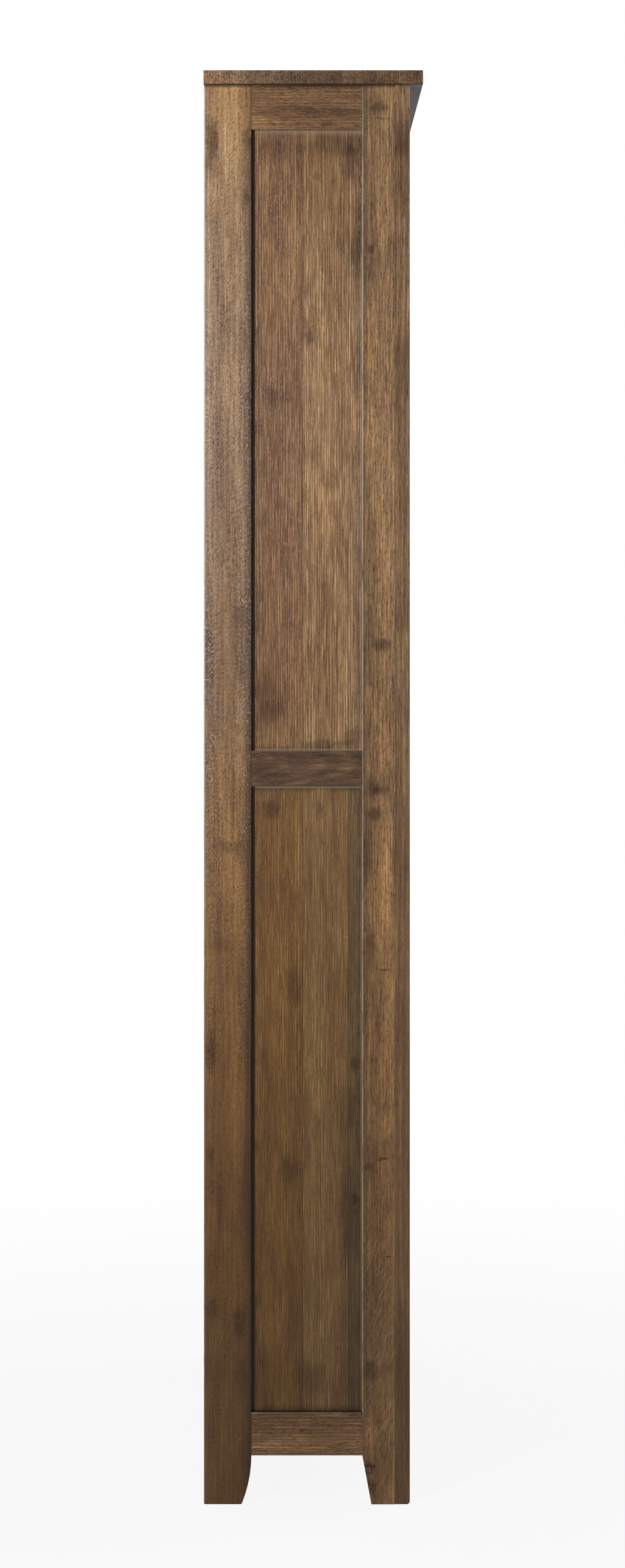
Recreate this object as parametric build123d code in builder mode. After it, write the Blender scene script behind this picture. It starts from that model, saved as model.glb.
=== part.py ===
"""Tall pantry cabinet: framed sides and back, a face frame, two doors on pivot pins, shelves.

Millimetres. +Z is up, the doors face -Y, and the origin is on the floor under the middle of the top.
Each frame is made in the plane of its outer face: x runs across it, y up it and z into the wood.
Only the left half of a pair is modelled; its twin is the mirror image across the YZ plane.
"""

from build123d import *

import os
from collections import namedtuple
from math import sqrt

os.makedirs("parts", exist_ok=True)

# ---- Driving dimensions ----

# Overall
height = 1900.0
top_width = 900.0
top_depth = 290.0
top_thickness = 18.0
top_overhang = 17.0  # past both sides and past the front
top_rounding = 2.0
arris = 1.0  # taken off the long edges that show

# Side frames
side_thickness = 22.0
front_stile_width = 43.0
rear_stile_width = 63.0
bottom_rail_height = 57.0
middle_rail_height = 47.0
top_rail_height = 59.0
lower_opening_height = 830.0
side_panel_recess = 9.0
side_panel_thickness = 8.0

# Legs, which are the ends of the stiles
leg_height = 65.0
rear_foot_taper = 13.0
front_foot_taper = 12.0
face_foot_taper = 10.0
toe_rounding = 4.0  # under the face frame
sole_rounding = 2.0

# Joinery shared by every frame
groove_depth = 8.0
panel_play = 1.0  # room for a panel to swell at the bottom of its groove
tenon_length = 28.0
tenon_shoulder = 8.0
tenon_gap = 1.0  # at the end of a mortise, and between a tenon and a groove

# Face frame
face_thickness = 20.0
face_stile_width = 45.0
face_tenon_thickness = 8.0

# Back, set in rebates of the rear stiles
back_thickness = 16.0
back_rebate = 10.0
back_panel_thickness = 8.0
back_play = 0.5

# Shelves
shelf_thickness = 18.0
shelf_setback = 8.0  # from the doors' inner faces
shelf_rounding = 2.0
shelf_end_play = 1.0
shelf_rear_play = 2.0
housing_depth = 4.0
loose_shelves = 2  # under the middle shelf, and as many above it

# Shelf pins
pin_radius = 2.5
pin_depth = 8.0
pin_tongue_length = 9.0
pin_tongue_width = 10.0
pin_tongue_thickness = 3.0
pin_inset = 24.0  # from the front and rear edges of the loose shelves
pin_holes = 5  # for each shelf, in each stile
pin_pitch = 32.0
pin_fit = 0.05

# Doors
door_gap = 2.0  # to the face frame
meeting_gap = 3.0  # between the doors
door_top_rail_height = 62.0
door_bottom_rail_height = 72.0
door_panel_recess = 7.0
door_panel_thickness = 7.0

# Door pivots
pivot_radius = 4.0
pivot_length_in_door = 25.0
pivot_length_in_bush = 10.0
pivot_fit = 0.06
bush_length = 12.0
bush_wall = 2.5
flange_width = 2.0
flange_clearance = 0.3  # under the door, and over it

# Ring pulls, in the meeting stiles
pull_above_rail = 31.0  # of wood between the middle rail's top and the plate
ring_radius = 13.5
ring_wire_radius = 1.8
ring_depth = 4.0  # of the ring's plane behind the door's face
ring_floor_gap = 1.2
eye_play = 0.5
eye_wall = 1.5
eye_length = 5.0
finger_room = 4.7  # round the ring
dish_wall = 1.2
pull_plate_thickness = 1.6
pull_flange = 3.0
pull_end_flange = 14.0
pull_corner = 4.0
pull_margin = 6.0  # of wood on each side of the plate
pull_fit = 0.15

# Screws
pull_screw_radius = 1.1
pull_screw_head_radius = 2.4
pull_screw_length = 11.0
cleat_screw_radius = 2.0
cleat_screw_head_radius = 4.0
cleat_screw_length = 30.0
screw_point = 3.0
screw_fit = 0.05

# Cleats under the top
cleat_section = 20.0
cleat_end_inset = 4.0
cleat_screws = 3  # up into the top, and one fewer into the side's rail
cleat_screw_inset = 45.0

# Magnetic catches, under the middle shelf
catch_length = 40.0
catch_height = 13.0
catch_depth = 18.0
catch_inset = 34.0  # from the middle of the cabinet to the catch's middle
catch_rounding = 2.0
strike_length = 30.0
strike_height = 11.0
strike_thickness = 1.5
strike_gap = 0.3

# ---- Places worked out from them ----

front = -top_depth / 2 + top_overhang
face_back = front + face_thickness
rear = top_depth / 2
back_front = rear - back_thickness
side = top_width / 2 - top_overhang
inside = side - side_thickness
front_stile_edge = face_back + front_stile_width
rear_stile_edge = rear - rear_stile_width

deck_top = leg_height + bottom_rail_height
middle_rail_bottom = deck_top + lower_opening_height
middle_rail_top = middle_rail_bottom + middle_rail_height
body_top = height - top_thickness
top_rail_bottom = body_top - top_rail_height
rails = ((leg_height, deck_top), (middle_rail_bottom, middle_rail_top), (top_rail_bottom, body_top))

shelf_front = face_back + shelf_setback
middle_shelf_bottom = (middle_rail_bottom + middle_rail_top - shelf_thickness) / 2
middle_shelf_top = middle_shelf_bottom + shelf_thickness
front_pin = shelf_front + pin_inset
rear_pin = back_front - shelf_rear_play - pin_inset

dish_radius = ring_radius + ring_wire_radius + finger_room
dish_depth = ring_depth + ring_wire_radius + ring_floor_gap
pull_plate_width = 2 * (dish_radius + dish_wall + pull_flange)
pull_plate_height = 2 * (dish_radius + dish_wall + pull_end_flange)
pull_screw_offset = dish_radius + dish_wall + pull_end_flange / 2
pull_height = middle_rail_top + pull_above_rail + pull_plate_height / 2
eye_bore = ring_wire_radius + eye_play
eye_radius = eye_bore + eye_wall

opening_edge = side - face_stile_width
door_edge = opening_edge - door_gap
door_bottom = deck_top + door_gap
door_top = top_rail_bottom - door_gap
meeting_edge = meeting_gap / 2
door_stile_width = pull_plate_width + 2 * pull_margin
pull_across = meeting_edge + door_stile_width / 2
pivot_across = door_edge - face_thickness / 2
pivot_y = front + face_thickness / 2
door_rails = (
    (door_bottom, door_bottom + door_bottom_rail_height),
    (middle_rail_bottom, middle_rail_top),
    (door_top - door_top_rail_height, door_top),
)


def spaced_levels(low, high):
    """Return the undersides of the loose shelves that share out the height from low to high."""
    clear = (high - low - loose_shelves * shelf_thickness) / (loose_shelves + 1)
    return [low + clear + count * (clear + shelf_thickness) for count in range(loose_shelves)]


lower_shelves = spaced_levels(deck_top, middle_shelf_bottom)
upper_shelves = spaced_levels(middle_shelf_top, body_top)

# A frame has its stiles' inner edges at near and far, and panels between face and back in the wood.
Frame = namedtuple("Frame", "plane near far rails thickness panel_face panel_back")

side_frame = Frame(
    Plane.YZ.offset(-side),
    front_stile_edge,
    rear_stile_edge,
    rails,
    side_thickness,
    side_panel_recess,
    side_panel_recess + side_panel_thickness,
)
door_frame = Frame(
    Plane(origin=(0, front, 0), x_dir=(-1, 0, 0), z_dir=(0, 1, 0)),
    meeting_edge + door_stile_width,
    door_edge - door_stile_width,
    door_rails,
    face_thickness,
    door_panel_recess,
    door_panel_recess + door_panel_thickness,
)


def write(part, name):
    """Label a finished piece and write its STEP file."""
    part.label = name
    export_step(part, f"parts/{name}.step")


def write_pair(part, name):
    """Write a piece of the left half, and its mirror image for the right half."""
    write(part, f"left_{name}")
    with BuildPart() as twin:
        mirror(part, about=Plane.YZ)
    write(twin.part, f"right_{name}")


def block(x, y, z, mode=Mode.ADD):
    """Add or cut a box between the two limits given along each axis."""
    low = (min(x), min(y), min(z))
    with Locations(low):
        Box(
            abs(x[1] - x[0]),
            abs(y[1] - y[0]),
            abs(z[1] - z[0]),
            align=(Align.MIN, Align.MIN, Align.MIN),
            mode=mode,
        )


def ease(middle, turn, length):
    """Take the arris off a straight edge of the current piece, given the edge's middle and direction."""
    side_length = arris * sqrt(2)
    size = (length, side_length, side_length) if turn[0] else (side_length, length, side_length)
    with Locations(Location(middle, turn)):
        Box(*size, mode=Mode.SUBTRACT)


def openings(frame):
    """Return the lower and upper limit of each opening between a frame's rails."""
    return [(below[1], above[0]) for below, above in zip(frame.rails, frame.rails[1:])]


def tenons(frame):
    """Return the lower and upper limit of each rail's tenon."""
    beside_groove = groove_depth + tenon_gap
    bottom, middle, top = frame.rails
    return [
        (bottom[0] + tenon_shoulder, bottom[1] - beside_groove),
        (middle[0] + beside_groove, middle[1] - beside_groove),
        (top[0] + beside_groove, top[1] - tenon_shoulder),
    ]


def cut_stile_joints(frame, edge, inward):
    """Cut the panel grooves and the rails' mortises into a stile, inward (+1 or -1) from its edge."""
    panel = (frame.panel_face, frame.panel_back)
    for low, high in openings(frame):
        reach = (low - groove_depth, high + groove_depth)
        block((edge, edge + inward * groove_depth), reach, panel, Mode.SUBTRACT)
        ease((edge, (low + high) / 2, 0), (0, 45, 0), high - low)
    for limits in tenons(frame):
        mortise = edge + inward * (tenon_length + tenon_gap)
        block((edge, mortise), limits, panel, Mode.SUBTRACT)


def make_rail(frame, index):
    """Make a frame's rail, with its tenons and the grooves for the panels beside it."""
    panel = (frame.panel_face, frame.panel_back)
    low, high = frame.rails[index]
    with BuildPart(frame.plane) as rail:
        block((frame.near, frame.far), (low, high), (0, frame.thickness))
        block((frame.near - tenon_length, frame.far + tenon_length), tenons(frame)[index], panel)
        middle = (frame.near + frame.far) / 2
        if index > 0:
            block((frame.near, frame.far), (low, low + groove_depth), panel, Mode.SUBTRACT)
            ease((middle, low, 0), (45, 0, 0), frame.far - frame.near)
        if index < len(frame.rails) - 1:
            block((frame.near, frame.far), (high - groove_depth, high), panel, Mode.SUBTRACT)
            ease((middle, high, 0), (45, 0, 0), frame.far - frame.near)
    return rail.part


def make_panel(frame, index):
    """Make the flat panel that floats in the grooves round one opening."""
    reach = groove_depth - panel_play
    low, high = openings(frame)[index]
    with BuildPart(frame.plane) as panel:
        block(
            (frame.near - reach, frame.far + reach),
            (low - reach, high + reach),
            (frame.panel_face, frame.panel_back),
        )
    return panel.part


def make_screw(radius, head_radius, length, clearance=0.0):
    """Make a countersunk screw standing head down at the origin, or its hole, wider by clearance."""
    shank = radius + clearance
    head = head_radius + clearance
    with BuildPart() as screw:
        with BuildSketch(Plane.XZ):
            with BuildLine():
                Polyline(
                    (0, 0),
                    (head, 0),
                    (shank, head_radius - radius),
                    (shank, length - screw_point),
                    (0, length + clearance),
                    close=True,
                )
            make_face()
        revolve(axis=Axis.Z)
    return screw.part


# ---- Side frames ----


def cut_housing(y_limits, low):
    """Cut the housing for the end of a fixed board, in the plane of the side frame."""
    depth = (side_thickness - housing_depth, side_thickness)
    block(y_limits, (low, low + shelf_thickness), depth, Mode.SUBTRACT)


def cut_pin_holes(pin_y):
    """Bore the rows of shelf pin holes into a stile's inner face."""
    for level in lower_shelves + upper_shelves:
        with Locations((pin_y, level - pin_radius, side_thickness)):
            with GridLocations(0, pin_pitch, 1, pin_holes):
                Cylinder(
                    pin_radius + pin_fit,
                    pin_depth + pin_fit,
                    align=(Align.CENTER, Align.CENTER, Align.MAX),
                    mode=Mode.SUBTRACT,
                )


def make_front_stile():
    """Make the side's front stile, whose straight tapered end is half of the front leg."""
    with BuildPart(side_frame.plane) as stile:
        with BuildSketch(side_frame.plane) as outline:
            with BuildLine():
                Polyline(
                    (face_back, 0),
                    (face_back, body_top),
                    (front_stile_edge, body_top),
                    (front_stile_edge, leg_height),
                    (front_stile_edge - front_foot_taper, 0),
                    close=True,
                )
            make_face()
            heel = outline.vertices().group_by(Axis.Z)[0].sort_by(Axis.Y)[-1]
            fillet(heel, sole_rounding)
        extrude(amount=side_thickness)
        cut_stile_joints(side_frame, front_stile_edge, -1)
        cut_housing((face_back, front_stile_edge), deck_top - shelf_thickness)
        cut_housing((shelf_front, front_stile_edge), middle_shelf_bottom)
        cut_pin_holes(front_pin)
    return stile.part


def make_rear_stile():
    """Make the side's rear stile, rebated for the back, with a curved taper at the rear leg."""
    toe = (rear_stile_edge + rear_foot_taper, 0)
    with BuildPart(side_frame.plane) as stile:
        with BuildSketch(side_frame.plane) as outline:
            with BuildLine():
                TangentArc((rear_stile_edge, leg_height), toe, tangent=(0, -1))
                Polyline(
                    toe,
                    (rear, 0),
                    (rear, body_top),
                    (rear_stile_edge, body_top),
                    (rear_stile_edge, leg_height),
                )
            make_face()
            fillet(outline.vertices().group_by(Axis.Z)[0], sole_rounding)
        extrude(amount=side_thickness)
        rear_edge = stile.edges().filter_by(Axis.Z).group_by(Axis.X)[0].sort_by(Axis.Y)[-1]
        fillet(rear_edge, arris)
        cut_stile_joints(side_frame, rear_stile_edge, 1)
        rebate = (side_thickness - back_rebate, side_thickness)
        block((back_front, rear), (leg_height, body_top), rebate, Mode.SUBTRACT)
        cut_housing((rear_stile_edge, back_front), deck_top - shelf_thickness)
        cut_housing((rear_stile_edge, back_front), middle_shelf_bottom)
        cut_pin_holes(rear_pin)
    return stile.part


cleat_screw = make_screw(cleat_screw_radius, cleat_screw_head_radius, cleat_screw_length)
cleat_screw_hole = make_screw(
    cleat_screw_radius, cleat_screw_head_radius, cleat_screw_length, screw_fit
)
cleat_front = shelf_front + cleat_end_inset
cleat_rear = back_front - cleat_end_inset
cleat_middle = (cleat_front + cleat_rear) / 2
cleat_screw_step = (cleat_rear - cleat_front - 2 * cleat_screw_inset) / (cleat_screws - 1)
cleat_x = inside - cleat_section / 2
cleat_z = body_top - cleat_section / 2


def upright_screw_places(sign):
    """Return the places of the screws that go up through one cleat into the top."""
    first = cleat_middle - cleat_screw_step * (cleat_screws - 1) / 2
    places = [first + count * cleat_screw_step for count in range(cleat_screws)]
    return [Location((sign * cleat_x, y, body_top - cleat_section)) for y in places]


def level_screw_places(sign):
    """Return the places of the screws that go outward through one cleat into the side."""
    first = cleat_middle - cleat_screw_step * (cleat_screws - 2) / 2
    places = [first + count * cleat_screw_step for count in range(cleat_screws - 1)]
    start = sign * (inside - cleat_section)
    return [Location((start, y, cleat_z), (0, sign * 90, 0)) for y in places]


write_pair(make_front_stile(), "side_front_stile")
write_pair(make_rear_stile(), "side_rear_stile")
write_pair(make_panel(side_frame, 0), "side_lower_panel")
write_pair(make_panel(side_frame, 1), "side_upper_panel")

with BuildPart() as side_bottom_rail:
    add(make_rail(side_frame, 0))
    block(
        (-inside - housing_depth, -inside),
        (front_stile_edge, rear_stile_edge),
        (deck_top - shelf_thickness, deck_top),
        Mode.SUBTRACT,
    )
write_pair(side_bottom_rail.part, "side_bottom_rail")

with BuildPart() as side_middle_rail:
    add(make_rail(side_frame, 1))
    block(
        (-inside - housing_depth, -inside),
        (front_stile_edge, rear_stile_edge),
        (middle_shelf_bottom, middle_shelf_top),
        Mode.SUBTRACT,
    )
write_pair(side_middle_rail.part, "side_middle_rail")

with BuildPart() as side_top_rail:
    add(make_rail(side_frame, 2))
    with Locations(level_screw_places(-1)):
        add(cleat_screw_hole, mode=Mode.SUBTRACT)
write_pair(side_top_rail.part, "side_top_rail")

# ---- Face frame ----

face_tenon = (
    front + (face_thickness - face_tenon_thickness) / 2,
    front + (face_thickness + face_tenon_thickness) / 2,
)
face_rails = (rails[0], rails[2])
bush_radius = pivot_radius + pivot_fit + bush_wall
bush_hole_radius = bush_radius + pivot_fit
flange_thickness = door_gap - flange_clearance


def face_tenon_levels(limits):
    """Return the limits of a face rail's tenon, a shoulder inside the rail's own limits."""
    return (limits[0] + tenon_shoulder, limits[1] - tenon_shoulder)


with BuildPart() as face_stile:
    with BuildSketch(Plane.XZ.offset(-face_back)):
        with BuildLine():
            Polyline(
                (-side, 0),
                (-side, body_top),
                (-opening_edge, body_top),
                (-opening_edge, leg_height),
                (-opening_edge - face_foot_taper, 0),
                close=True,
            )
        make_face()
    extrude(amount=face_thickness)
    fillet(face_stile.edges().group_by(Axis.Z)[0].sort_by(Axis.Y)[0], toe_rounding)
    outer_edge = face_stile.edges().filter_by(Axis.Z).group_by(Axis.Y)[0].sort_by(Axis.X)[0]
    fillet(outer_edge, arris)
    for rail_limits in face_rails:
        block(
            (-opening_edge - tenon_length - tenon_gap, -opening_edge),
            face_tenon,
            face_tenon_levels(rail_limits),
            Mode.SUBTRACT,
        )
write_pair(face_stile.part, "face_stile")


def make_face_rail(limits, bored_level, upward):
    """Make a rail of the face frame, bored for the two pivot bushes in its inner edge."""
    tenon_reach = opening_edge + tenon_length
    bore_align = Align.MAX if upward else Align.MIN
    with BuildPart() as rail:
        block((-opening_edge, opening_edge), (front, face_back), limits)
        block((-tenon_reach, tenon_reach), face_tenon, face_tenon_levels(limits))
        with Locations((-pivot_across, pivot_y, bored_level), (pivot_across, pivot_y, bored_level)):
            Cylinder(
                bush_hole_radius,
                bush_length,
                align=(Align.CENTER, Align.CENTER, bore_align),
                mode=Mode.SUBTRACT,
            )
    return rail.part


write(make_face_rail(face_rails[0], deck_top, upward=True), "face_bottom_rail")
write(make_face_rail(face_rails[1], top_rail_bottom, upward=False), "face_top_rail")

# ---- Back ----

back_half_width = inside + back_rebate
back_panel_back = back_front + back_panel_thickness


def make_back_rail(index):
    """Make a rail of the back, rebated at the front for the panels above and below it."""
    low, high = rails[index]
    across = (-back_half_width, back_half_width)
    panel = (back_front, back_panel_back)
    with BuildPart() as rail:
        block(across, (back_front, rear), (low, high))
        if index > 0:
            block(across, panel, (low, low + back_rebate), Mode.SUBTRACT)
        if index < len(rails) - 1:
            block(across, panel, (high - back_rebate, high), Mode.SUBTRACT)
    return rail.part


for rail_index, rail_name in enumerate(("bottom", "middle", "top")):
    write(make_back_rail(rail_index), f"back_{rail_name}_rail")

for panel_index, panel_name in enumerate(("lower", "upper")):
    opening_low, opening_high = openings(side_frame)[panel_index]
    panel_reach = back_rebate - back_play
    with BuildPart() as back_panel:
        block(
            (-inside - panel_reach, inside + panel_reach),
            (back_front, back_panel_back),
            (opening_low - panel_reach, opening_high + panel_reach),
        )
    write(back_panel.part, f"back_{panel_name}_panel")

# ---- Top, deck and shelves ----

with BuildPart() as top_board:
    block((-top_width / 2, top_width / 2), (-top_depth / 2, rear), (body_top, height))
    upper_edges = top_board.faces().sort_by(Axis.Z)[-1].edges().sort_by(Axis.Y)[:-1]
    fillet(upper_edges, top_rounding)
    with Locations(upright_screw_places(-1) + upright_screw_places(1)):
        add(cleat_screw_hole, mode=Mode.SUBTRACT)
write(top_board.part, "top_board")

with BuildPart() as top_cleats:
    for sign in (-1, 1):
        block(
            (sign * (inside - cleat_section), sign * inside),
            (cleat_front, cleat_rear),
            (body_top - cleat_section, body_top),
        )
    for sign in (-1, 1):
        with Locations(upright_screw_places(sign) + level_screw_places(sign)):
            add(cleat_screw_hole, mode=Mode.SUBTRACT)
write(top_cleats.part, "top_cleats")

with BuildPart() as cleat_screw_set:
    for sign in (-1, 1):
        with Locations(upright_screw_places(sign) + level_screw_places(sign)):
            add(cleat_screw)
write(cleat_screw_set.part, "cleat_screws")

fixed_half_width = inside + housing_depth
with BuildPart() as bottom_deck:
    block(
        (-fixed_half_width, fixed_half_width),
        (face_back, back_front),
        (deck_top - shelf_thickness, deck_top),
    )
write(bottom_deck.part, "bottom_deck")

with BuildPart() as middle_shelf:
    block(
        (-fixed_half_width, fixed_half_width),
        (shelf_front, back_front),
        (middle_shelf_bottom, middle_shelf_top),
    )
write(middle_shelf.part, "middle_shelf")

loose_half_width = inside - shelf_end_play
for group_name, levels in (("lower", lower_shelves), ("upper", upper_shelves)):
    for shelf_number, level in enumerate(levels, start=1):
        with BuildPart() as loose_shelf:
            block(
                (-loose_half_width, loose_half_width),
                (shelf_front, back_front - shelf_rear_play),
                (level, level + shelf_thickness),
            )
            front_edges = loose_shelf.faces().sort_by(Axis.Y)[0].edges().filter_by(Axis.X)
            fillet(front_edges, shelf_rounding)
        write(loose_shelf.part, f"{group_name}_shelf_{shelf_number}")

with BuildPart() as shelf_pins:
    for level in lower_shelves + upper_shelves:
        for pin_y in (front_pin, rear_pin):
            for sign in (-1, 1):
                block(
                    (sign * inside, sign * (inside - pin_tongue_length)),
                    (pin_y - pin_tongue_width / 2, pin_y + pin_tongue_width / 2),
                    (level - pin_tongue_thickness, level),
                )
                shank = (sign * (inside + pin_depth / 2), pin_y, level - pin_radius)
                with Locations(Location(shank, (0, 90, 0))):
                    Cylinder(pin_radius, pin_depth)
write(shelf_pins.part, "shelf_pins")

# ---- Doors ----


def make_hinge_stile():
    """Make the stile on the pivot side, rounded about the pivot and bored for its two pins."""
    with BuildPart(door_frame.plane) as stile:
        block((door_frame.far, door_edge), (door_bottom, door_top), (0, face_thickness))
        outer_edge = stile.edges().filter_by(Axis.Z).group_by(Axis.Y)[0].sort_by(Axis.X)[0]
        fillet(outer_edge, face_thickness / 2)
        cut_stile_joints(door_frame, door_frame.far, 1)
        depth = pivot_length_in_door + pivot_fit
        for end, bore_align in ((door_bottom, Align.MIN), (door_top, Align.MAX)):
            with BuildSketch(Plane.XY.offset(end)):
                with Locations((-pivot_across, pivot_y)):
                    Circle(pivot_radius + pivot_fit)
            extrude(amount=depth if bore_align == Align.MIN else -depth, mode=Mode.SUBTRACT)
    return stile.part


def pull_screw_places():
    """Return the places of the pull plate's screws in the plane of the door's face."""
    offsets = (-pull_screw_offset, pull_screw_offset)
    return [Location((pull_across, pull_height + offset, 0)) for offset in offsets]


pull_screw_hole = make_screw(
    pull_screw_radius, pull_screw_head_radius, pull_screw_length, screw_fit
)


def make_meeting_stile():
    """Make the stile on the meeting side, sunk for the pull's plate, dish and screws."""
    with BuildPart(door_frame.plane) as stile:
        block((meeting_edge, door_frame.near), (door_bottom, door_top), (0, face_thickness))
        outer_edge = stile.edges().filter_by(Axis.Z).group_by(Axis.Y)[0].sort_by(Axis.X)[-1]
        fillet(outer_edge, arris)
        cut_stile_joints(door_frame, door_frame.near, -1)
        with BuildSketch(door_frame.plane):
            with Locations((pull_across, pull_height)):
                RectangleRounded(
                    pull_plate_width + 2 * pull_fit,
                    pull_plate_height + 2 * pull_fit,
                    pull_corner + pull_fit,
                )
        extrude(amount=pull_plate_thickness, mode=Mode.SUBTRACT)
        with BuildSketch(door_frame.plane):
            with Locations((pull_across, pull_height)):
                Circle(dish_radius + dish_wall + pull_fit)
        extrude(amount=dish_depth + dish_wall + pull_fit, mode=Mode.SUBTRACT)
        with Locations(pull_screw_places()):
            add(pull_screw_hole, mode=Mode.SUBTRACT)
    return stile.part


write_pair(make_hinge_stile(), "door_hinge_stile")
write_pair(make_meeting_stile(), "door_meeting_stile")
for rail_index, rail_name in enumerate(("bottom", "middle", "top")):
    write_pair(make_rail(door_frame, rail_index), f"door_{rail_name}_rail")
for panel_index, panel_name in enumerate(("lower", "upper")):
    write_pair(make_panel(door_frame, panel_index), f"door_{panel_name}_panel")

# ---- Door pivots ----

with BuildPart() as pivot_pins:
    for end, direction in ((door_bottom, 1), (door_top, -1)):
        outer_end = end - direction * (door_gap + pivot_length_in_bush)
        inner_end = end + direction * pivot_length_in_door
        with BuildSketch(Plane.XY.offset(outer_end)):
            with Locations((-pivot_across, pivot_y)):
                Circle(pivot_radius)
        extrude(amount=inner_end - outer_end)
write_pair(pivot_pins.part, "door_pivot_pins")

with BuildPart() as pivot_bushes:
    for level, direction in ((deck_top, 1), (top_rail_bottom, -1)):
        with Locations((-pivot_across, pivot_y, level), (pivot_across, pivot_y, level)):
            Cylinder(
                bush_radius,
                bush_length,
                align=(Align.CENTER, Align.CENTER, Align.MAX if direction > 0 else Align.MIN),
            )
            Cylinder(
                bush_radius + flange_width,
                flange_thickness,
                align=(Align.CENTER, Align.CENTER, Align.MIN if direction > 0 else Align.MAX),
            )
            Cylinder(pivot_radius + pivot_fit, 2 * (bush_length + door_gap), mode=Mode.SUBTRACT)
write(pivot_bushes.part, "pivot_bushes")

# ---- Ring pulls ----

with BuildPart(door_frame.plane) as pull_plate:
    with BuildSketch(door_frame.plane):
        with Locations((pull_across, pull_height)):
            RectangleRounded(pull_plate_width, pull_plate_height, pull_corner)
    extrude(amount=pull_plate_thickness)
    with BuildSketch(door_frame.plane):
        with Locations((pull_across, pull_height)):
            Circle(dish_radius + dish_wall)
    extrude(amount=dish_depth + dish_wall)
    with BuildSketch(door_frame.plane):
        with Locations((pull_across, pull_height)):
            Circle(dish_radius)
    extrude(amount=dish_depth, mode=Mode.SUBTRACT)
    eye_level = pull_height + ring_radius
    block(
        (pull_across - eye_length / 2, pull_across + eye_length / 2),
        (eye_level - eye_radius, eye_level + eye_radius),
        (ring_depth, dish_depth),
    )
    with Locations(Location((pull_across, eye_level, ring_depth), (0, 90, 0))):
        Cylinder(eye_radius, eye_length)
        Cylinder(eye_bore, eye_length, mode=Mode.SUBTRACT)
    with Locations(pull_screw_places()):
        add(pull_screw_hole, mode=Mode.SUBTRACT)
write_pair(pull_plate.part, "pull_plate")

with BuildPart(door_frame.plane) as pull_ring:
    with Locations((pull_across, pull_height, ring_depth)):
        Torus(ring_radius, ring_wire_radius)
write_pair(pull_ring.part, "pull_ring")

with BuildPart(door_frame.plane) as pull_screws:
    with Locations(pull_screw_places()):
        add(make_screw(pull_screw_radius, pull_screw_head_radius, pull_screw_length))
write_pair(pull_screws.part, "pull_screws")

# ---- Catches ----

catch_front = face_back + strike_thickness + strike_gap
with BuildPart() as magnetic_catches:
    for sign in (-1, 1):
        block(
            (sign * catch_inset - catch_length / 2, sign * catch_inset + catch_length / 2),
            (catch_front, catch_front + catch_depth),
            (middle_shelf_bottom - catch_height, middle_shelf_bottom),
        )
    lower_edges = magnetic_catches.edges().filter_by(Axis.Y).group_by(Axis.Z)[0]
    fillet(lower_edges, catch_rounding)
write(magnetic_catches.part, "magnetic_catches")

strike_middle = middle_shelf_bottom - catch_height / 2
with BuildPart() as strike_plate:
    block(
        (-catch_inset - strike_length / 2, -catch_inset + strike_length / 2),
        (face_back, face_back + strike_thickness),
        (strike_middle - strike_height / 2, strike_middle + strike_height / 2),
    )
write_pair(strike_plate.part, "strike_plate")
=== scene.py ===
"""Studio scene of a tall oak pantry cabinet.

The cabinet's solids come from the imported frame. This file dresses them in stained oak, aged brass,
steel and plastic, adds the small fasteners, and sets the floor, the lamps and the camera.
Lengths are in metres. +Z is up, the doors face -Y, and the origin is on the floor.
"""

from __future__ import annotations

import logging
import math
from dataclasses import dataclass, replace
from enum import Enum

import bmesh
import bpy
from mathutils import Matrix, Vector


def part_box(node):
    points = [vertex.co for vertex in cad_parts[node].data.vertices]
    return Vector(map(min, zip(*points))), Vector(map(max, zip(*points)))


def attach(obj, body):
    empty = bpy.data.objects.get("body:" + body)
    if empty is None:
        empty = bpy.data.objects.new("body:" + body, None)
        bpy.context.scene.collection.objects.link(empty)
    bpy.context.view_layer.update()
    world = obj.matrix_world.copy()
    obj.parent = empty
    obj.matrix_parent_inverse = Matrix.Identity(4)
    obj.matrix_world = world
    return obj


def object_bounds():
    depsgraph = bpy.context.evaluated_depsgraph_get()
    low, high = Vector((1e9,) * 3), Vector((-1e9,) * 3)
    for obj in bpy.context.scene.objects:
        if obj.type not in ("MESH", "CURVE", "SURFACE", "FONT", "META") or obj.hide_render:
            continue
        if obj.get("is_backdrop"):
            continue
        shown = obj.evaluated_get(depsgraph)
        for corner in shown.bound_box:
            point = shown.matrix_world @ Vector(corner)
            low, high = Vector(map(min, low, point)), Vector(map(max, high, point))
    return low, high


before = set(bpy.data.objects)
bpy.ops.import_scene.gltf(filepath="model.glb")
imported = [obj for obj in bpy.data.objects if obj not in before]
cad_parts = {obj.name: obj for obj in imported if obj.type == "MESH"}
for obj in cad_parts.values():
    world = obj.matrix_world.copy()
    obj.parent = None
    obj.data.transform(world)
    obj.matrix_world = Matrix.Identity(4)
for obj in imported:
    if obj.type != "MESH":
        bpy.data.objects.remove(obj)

log = logging.getLogger("pantry_cabinet")

Colour = tuple[float, float, float, float]
Stops = tuple[tuple[float, ...], ...]


def tint(*card: int) -> Colour:
    """Give the linear colour of a paint card's red, green and blue, each from 0 to 255."""
    parts = (value / 255 for value in card)
    return (*(p / 12.92 if p <= 0.04045 else ((p + 0.055) / 1.055) ** 2.4 for p in parts), 1)


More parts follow.
